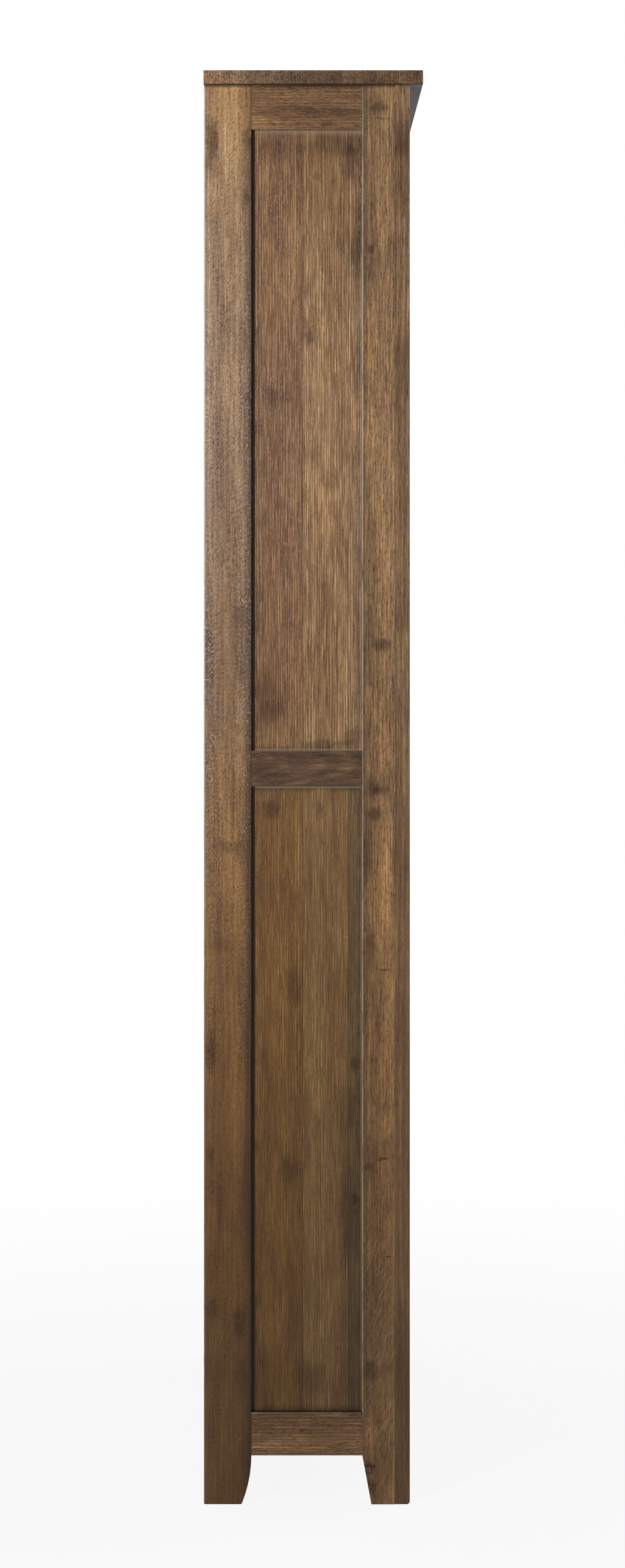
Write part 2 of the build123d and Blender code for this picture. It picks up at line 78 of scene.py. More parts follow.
class Wire:
    """A number or a colour that a node puts out. Its arithmetic adds Math nodes to the same tree."""

    kind = "Math"

    def __init__(self, graph: Graph, socket: bpy.types.NodeSocket) -> None:
        """Keep the output and the graph that it belongs to."""
        self.graph, self.socket = graph, socket

    def work(self, operation: str, *terms: Feed) -> Wire:
        """Work out another value of the same kind."""
        made = self.graph.node(self.kind, dict(enumerate(terms)), operation=operation)
        return type(self)(self.graph, made.outputs[0])

    def __add__(self, other: Feed) -> Wire:
        """Add the other to it."""
        return self.work("ADD", self, other)

    def __sub__(self, other: Feed) -> Wire:
        """Take the other from it."""
        return self.work("SUBTRACT", self, other)

    def __rsub__(self, other: Feed) -> Wire:
        """Take it from the other."""
        return self.work("SUBTRACT", other, self)

    def __mul__(self, other: Feed) -> Wire:
        """Multiply it by the other."""
        return self.work("MULTIPLY", self, other)

    def __truediv__(self, other: Feed) -> Wire:
        """Divide it by the other."""
        return self.work("DIVIDE", self, other)

    def __abs__(self) -> Wire:
        """Drop its sign."""
        return self.work("ABSOLUTE", self)

    def fit(self, scale: Feed, offset: Feed) -> Wire:
        """Multiply it by a scale and add an offset."""
        return self.work("MULTIPLY_ADD", self, scale, offset)


class Arrow(Wire):
    """A vector that a node puts out, with the same arithmetic on its three numbers."""

    kind = "VectorMath"

    @property
    def parts(self) -> list[Wire]:
        """Its three numbers."""
        return [Wire(self.graph, part) for part in self.graph.node("SeparateXYZ", {0: self}).outputs]

    @property
    def length(self) -> Wire:
        """Its length."""
        return Wire(self.graph, self.graph.node(self.kind, {0: self}, operation="LENGTH").outputs[1])


Feed = Wire | bpy.types.NodeSocket | float | tuple[float, ...]


class Graph:
    """Writes one node tree. Most methods add one node and give its first output."""

    def __init__(self, tree: bpy.types.NodeTree) -> None:
        """Keep the tree that the nodes go into."""
        self.tree = tree

    @classmethod
    def group(cls, name: str, inputs: dict[str, str], outputs: dict[str, str]) -> Graph:
        """Start a node group.

        Args:
            name: The group's name.
            inputs: Socket type by input name, such as "Float", "Vector" or "Color".
            outputs: Socket type by output name.

        Returns:
            The graph, with its Group Input and Group Output nodes in place.
        """
        tree = bpy.data.node_groups.new(name, "ShaderNodeTree")
        for side, sockets in (("INPUT", inputs), ("OUTPUT", outputs)):
            for label, kind in sockets.items():
                tree.interface.new_socket(name=label, in_out=side, socket_type=f"NodeSocket{kind}")
        made = cls(tree)
        given = tree.nodes.new("NodeGroupInput").outputs
        made.given = {
            label: Arrow(made, given[label]) if kind == "Vector" else Wire(made, given[label])
            for label, kind in inputs.items()
        }
        made.result = tree.nodes.new("NodeGroupOutput").inputs
        return made

    def close(self, **results: Feed) -> Graph:
        """Feed a group's outputs.

        Args:
            results: What goes into each output, by the output's name.

        Returns:
            The group's graph.
        """
        for label, feed in results.items():
            self.put(feed, self.result[label])
        return self

    def use(self, group: Graph, feeds: dict[str, Feed]) -> dict[str, Wire]:
        """Place a node group.

        Args:
            group: The group's graph.
            feeds: What goes into each of its inputs.

        Returns:
            Its outputs by name.
        """
        made = self.node("Group", feeds, node_tree=group.tree)
        return {output.name: Wire(self, output) for output in made.outputs}

    def node(self, kind: str, feeds: dict[int | str, Feed], **settings: object) -> bpy.types.Node:
        """Add a node.

        Args:
            kind: The node's type, without its ShaderNode prefix.
            feeds: What goes into each input: another node's output, or a plain value.
            settings: The node's own options.

        Returns:
            The node.
        """
        made = self.tree.nodes.new("ShaderNode" + kind)
        for option, value in settings.items():
            setattr(made, option, value)
        for key, feed in feeds.items():
            self.put(feed, made.inputs[key])
        return made

    def put(self, feed: Feed, socket: bpy.types.NodeSocket) -> None:
        """Link an output to a socket, or set the socket to a plain value.

        Args:
            feed: The output or the value.
            socket: The socket that takes it.
        """
        source = feed.socket if isinstance(feed, Wire) else feed
        if isinstance(source, bpy.types.NodeSocket):
            self.tree.links.new(source, socket)
        else:
            socket.default_value = source

    def calc(self, operation: str, *terms: Feed) -> Wire:
        """Work out one number from one or two others."""
        return Wire(self, self.node("Math", dict(enumerate(terms)), operation=operation).outputs[0])

    def join(self, x: Feed, y: Feed, z: Feed) -> Arrow:
        """Make a vector of three numbers."""
        return Arrow(self, self.node("CombineXYZ", {0: x, 1: y, 2: z}).outputs[0])

    def reorder(self, vector: bpy.types.NodeSocket, axes: tuple[int, int, int]) -> Arrow:
        """Give a vector's three numbers in another order."""
        parts = Arrow(self, vector).parts
        return self.join(*(parts[axis] for axis in axes))

    def noise(self, vector: Feed, scale: float = 1, detail: float = 1, rough: float = 0.5) -> Wire:
        """Give soft noise from 0 to 1."""
        feeds = {"Vector": vector, "Scale": scale, "Detail": detail, "Roughness": rough}
        return Wire(self, self.node("TexNoise", feeds).outputs[0])

    def wander(self, vector: Feed, scale: float = 1, detail: float = 2) -> Arrow:
        """Give three soft noises round 0, one for each axis."""
        made = self.node("TexNoise", {"Vector": vector, "Scale": scale, "Detail": detail})
        return Arrow(self, made.outputs[1]) - (0.5, 0.5, 0.5)

    def lot(self, number: Feed) -> bpy.types.NodeOutputs:
        """Draw a chance number and a chance colour, the same each time for one number."""
        return self.node("TexWhiteNoise", {"W": number}, noise_dimensions="1D").outputs

    def window(self, value: Feed, start: Feed, end: Feed, low: float = 0, high: float = 1) -> Wire:
        """Go smoothly from low to high while the value goes from start to end."""
        feeds = dict(enumerate((value, start, end, low, high)))
        return Wire(self, self.node("MapRange", feeds, interpolation_type="SMOOTHSTEP").outputs[0])

    def blend(self, mask: Feed, under: Feed, over: Feed, mode: str = "MIX") -> Wire:
        """Lay one colour over another through a mask."""
        feeds = {0: mask, 6: under, 7: over}
        return Wire(self, self.node("Mix", feeds, data_type="RGBA", blend_type=mode).outputs[2])

    def soak(self, mask: Feed, under: Feed, stain: Feed) -> Wire:
        """Multiply a colour by a stain through a mask."""
        return self.blend(mask, under, stain, "MULTIPLY")

    def ramp(self, value: Feed, stops: Stops) -> Wire:
        """Give a colour that follows stops.

        Args:
            value: What moves along the stops, from 0 to 1.
            stops: Each a place from 0 to 1, and then one grey value or a red, a green and a blue.

        Returns:
            The colour.
        """
        made = self.node("ValToRGB", {0: value})
        band = made.color_ramp
        band.interpolation = "B_SPLINE"
        while len(band.elements) < len(stops):
            band.elements.new(0.5)
        for element, (place, *parts) in zip(band.elements, stops):
            element.position = place
            element.color = (*(parts * 3)[:3], 1)
        return Wire(self, made.outputs[0])

    def curve(self, value: Feed, stops: Stops) -> Wire:
        """Give a number that follows stops."""
        return Arrow(self, self.ramp(value, stops).socket).parts[0]

    def coat(self, colour: Feed, rough: Feed, height: Feed, relief: tuple[float, float]) -> bpy.types.Node:
        """Feed the material's own shader.

        Args:
            colour: The base colour.
            rough: The roughness.
            height: The height of the fine relief.
            relief: The relief's strength, and its depth in metres.

        Returns:
            The shader.
        """
        shader = self.tree.nodes["Principled BSDF"]
        bump = self.node("Bump", {"Strength": relief[0], "Distance": relief[1], "Height": height})
        for label, feed in (("Base Color", colour), ("Roughness", rough), ("Normal", bump.outputs[0])):
            self.put(feed, shader.inputs[label])
        return shader


def start_material(name: str) -> tuple[bpy.types.Material, Graph]:
    """Start a material.

    Args:
        name: The material's name.

    Returns:
        The material and its graph.
    """
    material = bpy.data.materials.new(name)
    material.use_nodes = True
    return material, Graph(material.node_tree)


def put_on(node: str, material: bpy.types.Material) -> None:
    """Put a material on a CAD node's solids."""
    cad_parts[node].data.materials[0] = material
    log.info("%s: %s", node, material.name)


@dataclass(frozen=True)
class Pattern:
    """Soft noise on a board: how fast it changes across the grain and along it, and how fine it gets."""

    across: float
    along: float
    detail: float = 1
    rough: float = 0.5

    def draw(self, place: Arrow) -> Wire:
        """Draw the pattern."""
        return place.graph.noise(place * (self.across, self.across, self.along), 1, self.detail, self.rough)


RING_BREAKS = Pattern(350, 38)
HAIR_LINES = Pattern(1300, 230)
STREAKS = Pattern(210, 7, 3, 0.6)
BROAD_BANDS = Pattern(46, 4.6, 2)
CLOUDS = Pattern(32, 9, 5, 0.6)
RAYS = Pattern(480, 55)
RUBBING = Pattern(60, 24, 3, 0.6)

REDDER = tint(168, 138, 122)
PORE = tint(118, 92, 74)
# Painted highlight: the pale glint a lamp would make in the open pores.
PAINTED_GLINT = tint(196, 182, 178)
# Painted shade: narrow faces, such as recess walls and ledges, are darkened.
EDGE_PAINTED_SHADE = tint(88, 78, 76)
END_SHADE = tint(205, 197, 197)
# Painted light under the top: the first is painted shade under the side overhangs, the second a painted
# reflection under the rest.
UNDERSIDE_PAINTED_SHADE = tint(54, 43, 37)
UNDERSIDE_PAINTED_REFLECTION = tint(130, 127, 136)
# Painted shade along recessed panels' borders; the same stain also darkens the real glue lines.
SHADE_AND_JOINT_STAIN = tint(88, 76, 70)
SMUDGE_STAIN = tint(118, 98, 86)
# Rubbed bare wood on the edges, which on one side stands in as a painted highlight.
BARE_WOOD_AND_HIGHLIGHT = tint(226, 218, 216)
# Lightens marks below zero: pale streaks, and a painted glint and painted reflection on the rear stile.
PALE_STREAK_AND_GLINT: Colour = (1.7, 1.62, 1.5, 1)
# Painted highlights: pale lines where light catches arrises and the rims of the recesses.
PAINTED_HIGHLIGHT = tint(186, 162, 136)
PALE_PAINTED_HIGHLIGHT = tint(232, 216, 190)
COOL_PAINTED_HIGHLIGHT = tint(206, 202, 208)
# Painted shadow: the near-black shade under the top, beside the recesses and on the ledges.
PAINTED_SHADOW = tint(40, 28, 20)
SURFACE = {"Color": "Color", "Roughness": "Float", "Height": "Float"}


class OakBoardGroup:
    """Writes the node group that draws a sawn oak board in the round.

    Its vectors run across the board, through it and along its grain. The growth rings lie round a
    pith that runs along the grain, so faces show lines or arches and ends show rings by themselves.
    """

    plain = (
        "Seed Pitch Taper Sway Ripple Rings Line_Rate Lines Hair Slant Pores Pore_Rate Flecks Streaks Broad "
        "Clouds Edge Under Under_Rim"
    ).split()
    drawn = "Pith_Across Pith_Through Glints Figure Smudge Seam Glaze Rays Wear_Low Wear_High".split()
    seed_steps = (0.37, 0.23, 0.61)
    ring_wander = 2.2
    line_stretch = 0.03
    fleck_rates = (560, 110)
    pore_rate_across = 1250
    rim_blur = 0.002

    def __init__(self) -> None:
        """Start the group with its sockets."""
        inputs = dict.fromkeys(("Vector", "Facing"), "Vector")
        inputs |= dict.fromkeys((*self.plain, *self.drawn), "Float")
        inputs |= dict.fromkeys(("Deep", "Body", "Glow", "Cast"), "Color")
        self.graph = Graph.group("oak_board", inputs, SURFACE)
        self.given = self.graph.given

    def write(self) -> Graph:
        """Write the group's nodes.

        Returns:
            The group, with the outputs Color, Roughness and Height.
        """
        g, give = self.graph, self.given
        self.bend_grain()
        self.late = self.grow_rings()
        self.cloud = CLOUDS.draw(self.place)
        colour = self.dress_faces(self.open_pores(self.stain_figure()))
        rough = (self.cloud - 0.5).fit(0.22, self.pores.fit(0.16, 0.34))
        rough = give["Glaze"].fit(0.2, self.under.fit(0.4, rough))
        height = self.hair.fit(0.25, self.pore_mask.fit(-1, self.late * 0.3))
        return g.close(Color=self.rub_and_highlight_edges(colour), Roughness=rough, Height=give["Seam"].fit(-1.2, height))

    def bend_grain(self) -> None:
        """Bend the grain, and find where each point lies about the pith."""
        g, give = self.graph, self.given
        shift = g.join(*(give["Seed"] * step for step in self.seed_steps))
        start = give["Vector"] + shift
        bent = give["Vector"]
        for across, along, amount in ((11, 2.6, give["Sway"]), (85, 9, give["Ripple"])):
            bent = bent + g.wander(start * (across, across, along)) * g.join(amount, amount, 0)
        self.place = bent + shift
        across, through, self.along = bent.parts
        self.across = across - give["Pith_Across"]
        self.through = through - self.along.fit(give["Taper"], give["Pith_Through"])
        self.reach = g.calc("SQRT", self.across * self.across + self.through * self.through)

    def grow_rings(self) -> Wire:
        """Draw each year's dense late wood, uneven from year to year and broken along the grain.

        Returns:
            How dense the wood is, from 0 to about 1.
        """
        g, give = self.graph, self.given
        years = self.reach / give["Pitch"]
        years = years + g.noise(g.join(years * 0.31, self.along * 1.5, give["Seed"])) * self.ring_wander
        part = g.calc("FRACT", years)
        late = g.window(part, 0.15, 0.6) * g.window(part, 0.95, 0.7)
        each = Wire(g, g.lot(g.calc("FLOOR", years) + give["Seed"])[0])
        return late * each.fit(0.6, 0.45) * g.window(RING_BREAKS.draw(self.place), 0.3, 0.7, 0.25, 1.75)

    def stain_figure(self) -> Wire:
        """Stain the rings, lines, streaks and flecks.

        Returns:
            The stained colour.
        """
        g, give = self.graph, self.given
        x, y, z = self.place.parts
        lean = give["Slant"] * (z + g.noise(g.join(0, 0, z), 2.2))
        self.slanted = g.join(x + lean, y, z)
        lines = g.window(g.noise(self.place * (1, 1, self.line_stretch) * give["Line_Rate"]), 0.42, 0.6)
        self.hair = g.window(HAIR_LINES.draw(self.slanted), 0.34, 0.66)
        level: Feed = 0.5
        for source, middle, amount in (
            (self.late, 0.34, "Rings"),
            (lines, 0.5, "Lines"),
            (self.hair, 0.5, "Hair"),
            (STREAKS.draw(self.place), 0.5, "Streaks"),
            (BROAD_BANDS.draw(self.place), 0.5, "Broad"),
        ):
            level = (source - middle).fit(give[amount], level)
        level = (level - 0.5).fit(give["Figure"], 0.5)
        colour = g.blend(g.window(level, 0, 0.55), give["Deep"], give["Body"])
        colour = g.blend(g.window(level, 0.45, 1.05), colour, give["Glow"])

        turn, (round_rate, along_rate) = g.calc("ARCTAN2", self.across, self.through), self.fleck_rates
        flecks = g.noise(g.join(turn * (self.reach * round_rate), 0, self.along * along_rate))
        flecks = g.window(flecks, 0.56, 0.7)
        colour = g.blend(flecks * give["Flecks"] * 0.5, colour, give["Glow"])
        rays = g.window(RAYS.draw(g.join(z.fit(0.45, x), y, z)), 0.52, 0.64)
        return g.blend(rays * give["Rays"], colour, give["Glow"])

    def open_pores(self, colour: Wire) -> Wire:
        """Redden the clouds, open the pores, multiply in the tone and painted shading, and paint glints on
        pores.

        Args:
            colour: The stained colour.

        Returns:
            The colour with pores and glints.
        """
        g, give = self.graph, self.given
        thin = g.join(self.pore_rate_across, self.pore_rate_across, give["Pore_Rate"])
        self.pores = g.window(g.noise(self.slanted * thin), 0.56, 0.61) * self.late.fit(-0.6, 1)
        self.pore_mask = self.pores * (give["Pores"] * give["Figure"])
        dim = g.window(self.cloud, 0.6, 0.36)
        colour = g.soak(dim * give["Clouds"], colour, REDDER)
        # Multiply in the tone, which holds painted shading and a painted sheen.
        colour = g.soak(1, g.soak(self.pore_mask, colour, PORE), give["Cast"])
        # Painted glints: pale dashes on some pores, standing in for the lamp's glint off the finish.
        spark = g.window(g.noise((self.slanted + (3.1, 1.7, 0.9)) * thin), 0.6, 0.64)
        return g.blend(spark * dim.fit(0.5, 0.5) * give["Glints"], colour, PAINTED_GLINT)

    def dress_faces(self, colour: Wire) -> Wire:
        """Darken the ends, paint shade on the narrow faces and a reflection under the top, and lay smudges,
        recess shade and glue lines.

        Args:
            colour: The board's colour.

        Returns:
            The colour of its faces.
        """
        g, give = self.graph, self.given
        across, _, along = abs(give["Facing"]).parts
        # Painted shade on the narrow faces.
        colour = g.soak(g.window(across, 0.8, 0.98) * give["Edge"], colour, EDGE_PAINTED_SHADE)
        colour = g.soak(g.window(along, 0.8, 0.98), colour, END_SHADE)
        # Painted light on the underside: a painted reflection, and dark painted shade beyond the overhang line.
        self.under = g.window(give["Facing"].parts[1], -0.8, -0.98) * give["Under"]
        rim = g.window(abs(self.along), give["Under_Rim"], give["Under_Rim"] + self.rim_blur)
        colour = g.blend(self.under, colour, g.blend(rim, UNDERSIDE_PAINTED_REFLECTION, UNDERSIDE_PAINTED_SHADE))
        # Painted shade: this stain darkens a recessed panel's border strip, and also the glue lines.
        stained = g.soak(1, colour, SHADE_AND_JOINT_STAIN)
        colour = g.soak(give["Smudge"], colour, SMUDGE_STAIN)
        # Marks below zero lighten: pale streaks, and on the rear stile a painted glint and a painted
        # reflection.
        colour = g.soak(give["Smudge"] * -1, colour, PALE_STREAK_AND_GLINT)
        return g.blend(give["Seam"], g.blend(give["Glaze"], colour, stained), stained)

    def rub_and_highlight_edges(self, colour: Wire) -> Wire:
        """Rub the stain off the rounded edges; where one side is paler than the other, that is a painted
        highlight.

        Args:
            colour: The colour of the board's faces.

        Returns:
            The colour with its rubbed edges and painted edge highlights.
        """
        g, give = self.graph, self.given
        across, through, along = abs(give["Facing"]).parts
        straight = g.calc("MAXIMUM", g.calc("MAXIMUM", across, through), along)
        worn = g.window(straight, 0.97, 0.85) * g.window(RUBBING.draw(self.place), 0.3, 0.56)
        # One side's edges can be paler than the other's, as a painted highlight.
        high_side = g.window(give["Facing"].parts[0], -0.2, 0.2)
        wear = (give["Wear_High"] - give["Wear_Low"]).fit(high_side, give["Wear_Low"])
        return g.blend(worn * wear, colour, g.blend(0.6, give["Glow"], BARE_WOOD_AND_HIGHLIGHT))


def write_soft_spot() -> Graph:
    """Write the group that masks one soft oval on a board, with a ragged rim.

    Returns:
        The group, with the output Mask.
    """
    inputs = {"Vector": "Vector", "Centre": "Vector", "Size": "Vector", "Tilt": "Float", "Rag": "Float"}
    g = Graph.group("soft_spot", inputs, {"Mask": "Float"})
    give = g.given
    reach = give["Rag"] * 0.014
    ragged = g.wander(give["Vector"], 95, 3) * g.join(reach, 0, reach)
    x, _, z = (give["Vector"] + ragged - give["Centre"]).parts
    cos, sin = g.calc("COSINE", give["Tilt"]), g.calc("SINE", give["Tilt"])
    apart = g.join(x * cos + z * sin, 0, z * cos - x * sin) / give["Size"]
    return g.close(Mask=g.window(apart.length, 1, 0.25))


def write_border() -> Graph:
    """Write the group that masks a strip inside a rectangle's edges, where shade is painted in a recess.

    Returns:
        The group, with the output Mask.
    """
    inputs = {"Vector": "Vector", "Low": "Vector", "High": "Vector", "Reach": "Float"}
    g = Graph.group("border", inputs, {"Mask": "Float"})
    give = g.given
    low = (give["Vector"] - give["Low"]).parts
    high = (give["High"] - give["Vector"]).parts
    near = g.calc("MINIMUM", g.calc("MINIMUM", low[0], low[2]), g.calc("MINIMUM", high[0], high[2]))
    ragged = g.noise(give["Vector"], 48, 3, 0.6)
    return g.close(Mask=g.window(near, give["Reach"] * ragged.fit(1.6, 0.2), 0))


def write_patina() -> Graph:
    """Write the group that draws tarnish, rubbed highs and fine scratches on metal.

    Returns:
        The group, with the outputs Color, Roughness and Height.
    """
    inputs = {"Vector": "Vector", "Bright": "Color", "Dull": "Color", "Rough": "Float", "Brush": "Vector"}
    g = Graph.group("patina", inputs, SURFACE)
    give = g.given
    blotch = g.noise(give["Vector"], 230, 6, 0.6)
    line = g.noise(give["Vector"] * give["Brush"], 1, 2)
    mask = g.window(line.fit(0.35, blotch), 0.42, 0.92)
    return g.close(
        Color=g.blend(mask, give["Dull"], give["Bright"]),
        Roughness=mask.fit(-0.2, give["Rough"] + 0.14),
        Height=blotch.fit(0.5, line * 0.5),
    )


OAK_BOARD = OakBoardGroup().write()
SOFT_SPOT = write_soft_spot()
BORDER = write_border()
PATINA = write_patina()


class Grain(Enum):
    """The axes that run across a board, through it and along its grain."""

    SIDE_UPRIGHT = (1, 0, 2)
    SIDE_LEVEL = (2, 0, 1)
    FRONT_UPRIGHT = (0, 1, 2)
    FRONT_LEVEL = (2, 1, 0)
    FLAT = (1, 2, 0)


@dataclass(frozen=True)
class Stain:
    """Three depths of one stain, from the open grain to the dense wood."""

    deep: Colour
    body: Colour
    glow: Colour


@dataclass(frozen=True)
class Mark:
    """A smudge, knot or streak on a board, placed as shares of the board's width and length.

    A depth below zero makes a light streak.
    """

    across: float
    along: float
    half_width: float
    half_length: float
    depth: float
    tilt: float = 0
    rag: float = 1


class Side(Enum):
    """One of a board's four edges, as the axis it bounds and whether it is the high one."""

    LOW_ACROSS = (0, False)
    HIGH_ACROSS = (0, True)
    LOW_ALONG = (2, False)
    HIGH_ALONG = (2, True)


EVEN: Stops = ((0, 1), (1, 1))
HALF: Stops = ((0, 0.5), (1, 0.5))


@dataclass(frozen=True)
class EdgeLine:
    """Painted light along one edge of a board: a highlight where light catches it, a shadow where shade falls.
    """

    side: Side
    tone: Colour
    strength: float
    reach: float
    solid: float = 0.6
    fade: Stops = EVEN

    def mask(self, g: Graph, share: list[Wire], span: Vector, flat: Wire) -> Wire:
        """Draw the line.

        Args:
            g: The material's graph.
            share: How far across, through and along the board a point lies, each from 0 to 1.
            span: The board's width, thickness and length.
            flat: A mask of the board's two wide faces.

        Returns:
            The line's mask.
        """
        axis, high = self.side.value
        away = 1 - share[axis] if high else share[axis]
        near = g.window(away * span[axis], self.reach, self.reach * self.solid)
        return near * g.curve(share[2 - axis], self.fade) * (flat * self.strength)


SHADE_UNIT: Colour = (4, 4, 4, 1)
OAK_RELIEF = (0.3, 0.0006)
OAK_GLOSS = 0.22
WARM_STAVE: Colour = (1.12, 1.04, 0.96, 1)
COOL_STAVE: Colour = (0.84, 0.86, 0.88, 1)


@dataclass(frozen=True)
class OakFinish:
    """How one board is sawn, stained and rubbed.

    Tone stops carry the stain's tone with painted shade and a painted sheen, and hold one half where they leave
    the colour as it is.
    """

    grain: Grain
    stain: Stain
    seed: float
    pitch: float = 0.0036
    pith: tuple[float, float] = (0.3, 0.04)
    taper: float = 0
    sway: float = 0.008
    ripple: float = 0.0006
    rings: float = 0.3
    line_rate: float = 640
    lines: float = 0.25
    hair: float = 0.2
    slant: float = 0
    pores: float = 0.7
    pore_rate: float = 130
    # Glints are painted highlights on the pores, spread by these stops.
    glints: float = 0.3
    glints_along: Stops = EVEN
    glints_across: Stops = EVEN
    flecks: float = 0
    rays_along: Stops = ()
    streaks: float = 1.1
    broad: float = 1
    figure_along: Stops = EVEN
    clouds: float = 0.5
    # Edge wear on the low and high sides; where they differ, the paler side is a painted highlight.
    wear: tuple[float, float] = (0.2, 0.2)
    under: float = 0
    under_rim: float = 9
    # Painted shade along the borders of a recessed panel, and how far it reaches.
    glaze: float = 0
    recess_shade_reach: float = 0.012
    # How far the narrow faces are darkened as painted shade.
    edge: float = 0.2
    # Tone stops along and across the board, which also paint shade and sheen.
    tone_and_light_along: Stops = HALF
    tone_and_light_across: Stops = HALF
    joints: tuple[float, ...] = ()
    casts: tuple[Colour, ...] = ()
    marks: tuple[Mark, ...] = ()
    edge_lines: tuple[EdgeLine, ...] = ()

    def dress(self, node: str) -> None:
        """Make this board's own material and put it on a CAD node.

        Args:
            node: The CAD node's name.
        """
        low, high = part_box(node)
        axes = self.grain.value
        base, top = (Vector([corner[axis] for axis in axes]) for corner in (low, high))
        span = top - base
        material, g = start_material(f"oak_{node}")
        coordinates = g.node("TexCoord", {}).outputs
        board, facing = (g.reorder(coordinates[label], axes) for label in ("Object", "Normal"))
        centred = board - tuple((base + top) / 2)
        share = ((board - tuple(base)) / tuple(span)).parts

        feeds = self.gather_feeds(g, share)
        feeds |= {"Vector": centred, "Facing": facing, "Smudge": self.rub_marks(g, centred, span)}
        if self.joints:
            feeds |= self.lay_staves(g, share[0], span[0], feeds["Cast"])
        # Painted shade along the panel's borders in the recess.
        if self.glaze:
            edge = {"Vector": board, "Low": tuple(base), "High": tuple(top), "Reach": self.recess_shade_reach}
            feeds["Glaze"] = g.use(BORDER, edge)["Mask"] * self.glaze
        made = g.use(OAK_BOARD, feeds)

        colour = made["Color"]
        # The edge lines are painted highlights and painted shadows.
        if self.edge_lines:
            flat = g.window(abs(facing.parts[1]), 0.8, 0.95)
            for line in self.edge_lines:
                colour = g.blend(line.mask(g, share, span, flat), colour, line.tone)
        shader = g.coat(colour, made["Roughness"], made["Height"], OAK_RELIEF)
        shader.inputs["Specular IOR Level"].default_value = OAK_GLOSS
        put_on(node, material)

    def gather_feeds(self, g: Graph, share: list[Wire]) -> dict[str, Feed]:
        """Gather what the oak group takes from this finish.

        Args:
            g: The material's graph.
            share: How far across, through and along the board a point lies, each from 0 to 1.

        Returns:
            The feeds by the group's input.
        """
        feeds: dict[str, Feed] = {name: getattr(self, name.lower()) for name in OakBoardGroup.plain}
        feeds |= zip(("Pith_Across", "Pith_Through", "Wear_Low", "Wear_High"), (*self.pith, *self.wear))
        feeds |= {"Deep": self.stain.deep, "Body": self.stain.body, "Glow": self.stain.glow}
        glints = g.curve(share[2], self.glints_along) * g.curve(share[0], self.glints_across)
        feeds |= {"Glints": glints * self.glints, "Figure": g.curve(share[2], self.figure_along)}
        # Painted light with the tone: shade darker towards the bottom, and on the rear stile a painted sheen.
        shade = g.soak(1, g.ramp(share[2], self.tone_and_light_along), g.ramp(share[0], self.tone_and_light_across))
        feeds["Cast"] = g.soak(1, shade, SHADE_UNIT)
        if self.rays_along:
            feeds["Rays"] = g.curve(share[2], self.rays_along)
        return feeds

    def rub_marks(self, g: Graph, centred: Arrow, span: Vector) -> Feed:
        """Draw the board's smudges, knots and streaks.

        Args:
            g: The material's graph.
            centred: The place on the board, measured from its middle.
            span: The board's width, thickness and length.

        Returns:
            The marks' mask, in which a light streak counts below zero.
        """
        smudge: Feed = 0
        for mark in self.marks:
            spot = {
                "Vector": centred,
                "Centre": ((mark.across - 0.5) * span[0], 0, (mark.along - 0.5) * span[2]),
                "Size": (mark.half_width, 1, mark.half_length),
                "Tilt": mark.tilt,
                "Rag": mark.rag,
            }
            smudge = g.use(SOFT_SPOT, spot)["Mask"].fit(mark.depth, smudge)
        return smudge

    def lay_staves(self, g: Graph, share: Wire, width: float, ramp_tone_and_light: Wire) -> dict[str, Wire]:
        """Split a board into glued staves, each sawn from another part of the log.

        Args:
            g: The material's graph.
            share: How far across the board a point lies, from 0 to 1.
            width: The board's width.
            ramp_tone_and_light: The board's tone, with its painted shading.

        Returns:
            What the staves change: the seed, the pith's place, the glue lines and the tone with its painted
                shading.
        """
        glue_line, seed_step, pith_spread = 0.0009 / width, 3.7, 0.08
        count: Feed = 0
        seam: Feed = 0
        hue: Feed = self.casts[0] if self.casts else WARM_STAVE
        for order, joint in enumerate(self.joints):
            past = g.calc("GREATER_THAN", share, joint)
            count = past + count
            seam = g.window(abs(share - joint), glue_line, 0, 0, 0.5) + seam
            if self.casts:
                hue = g.blend(past, hue, self.casts[order + 1])
        seed = count.fit(seed_step, self.seed)
        red, green, blue = (Arrow(g, g.lot(seed)[1]) - (0.5, 0.5, 0.5)).parts
        if not self.casts:
            hue = g.blend(blue + 0.5, WARM_STAVE, COOL_STAVE)
        return {
            "Seed": seed,
            "Pith_Across": red.fit(self.pith[0], self.pith[0]),
            "Pith_Through": green.fit(pith_spread, self.pith[1]),
            "Seam": seam,
            "Cast": g.soak(1, ramp_tone_and_light, hue),
        }


@dataclass(frozen=True)
class MetalFinish:
    """A metal with tarnish and rubbed highs."""

    name: str
    bright: Colour
    dull: Colour
    rough: float
    brush: tuple[float, float, float] = (900, 900, 60)
    relief: tuple[float, float] = (0.25, 0.0002)

    def make(self) -> bpy.types.Material:
        """Make the metal's material.

        Returns:
            The material.
        """
        material, g = start_material(self.name)
        place = g.node("TexCoord", {}).outputs["Object"]
        feeds = {name: getattr(self, name.lower()) for name in ("Bright", "Dull", "Rough", "Brush")}
        made = g.use(PATINA, {"Vector": place, **feeds})
        shader = g.coat(made["Color"], made["Roughness"], made["Height"], self.relief)
        shader.inputs["Metallic"].default_value = 1
        return material


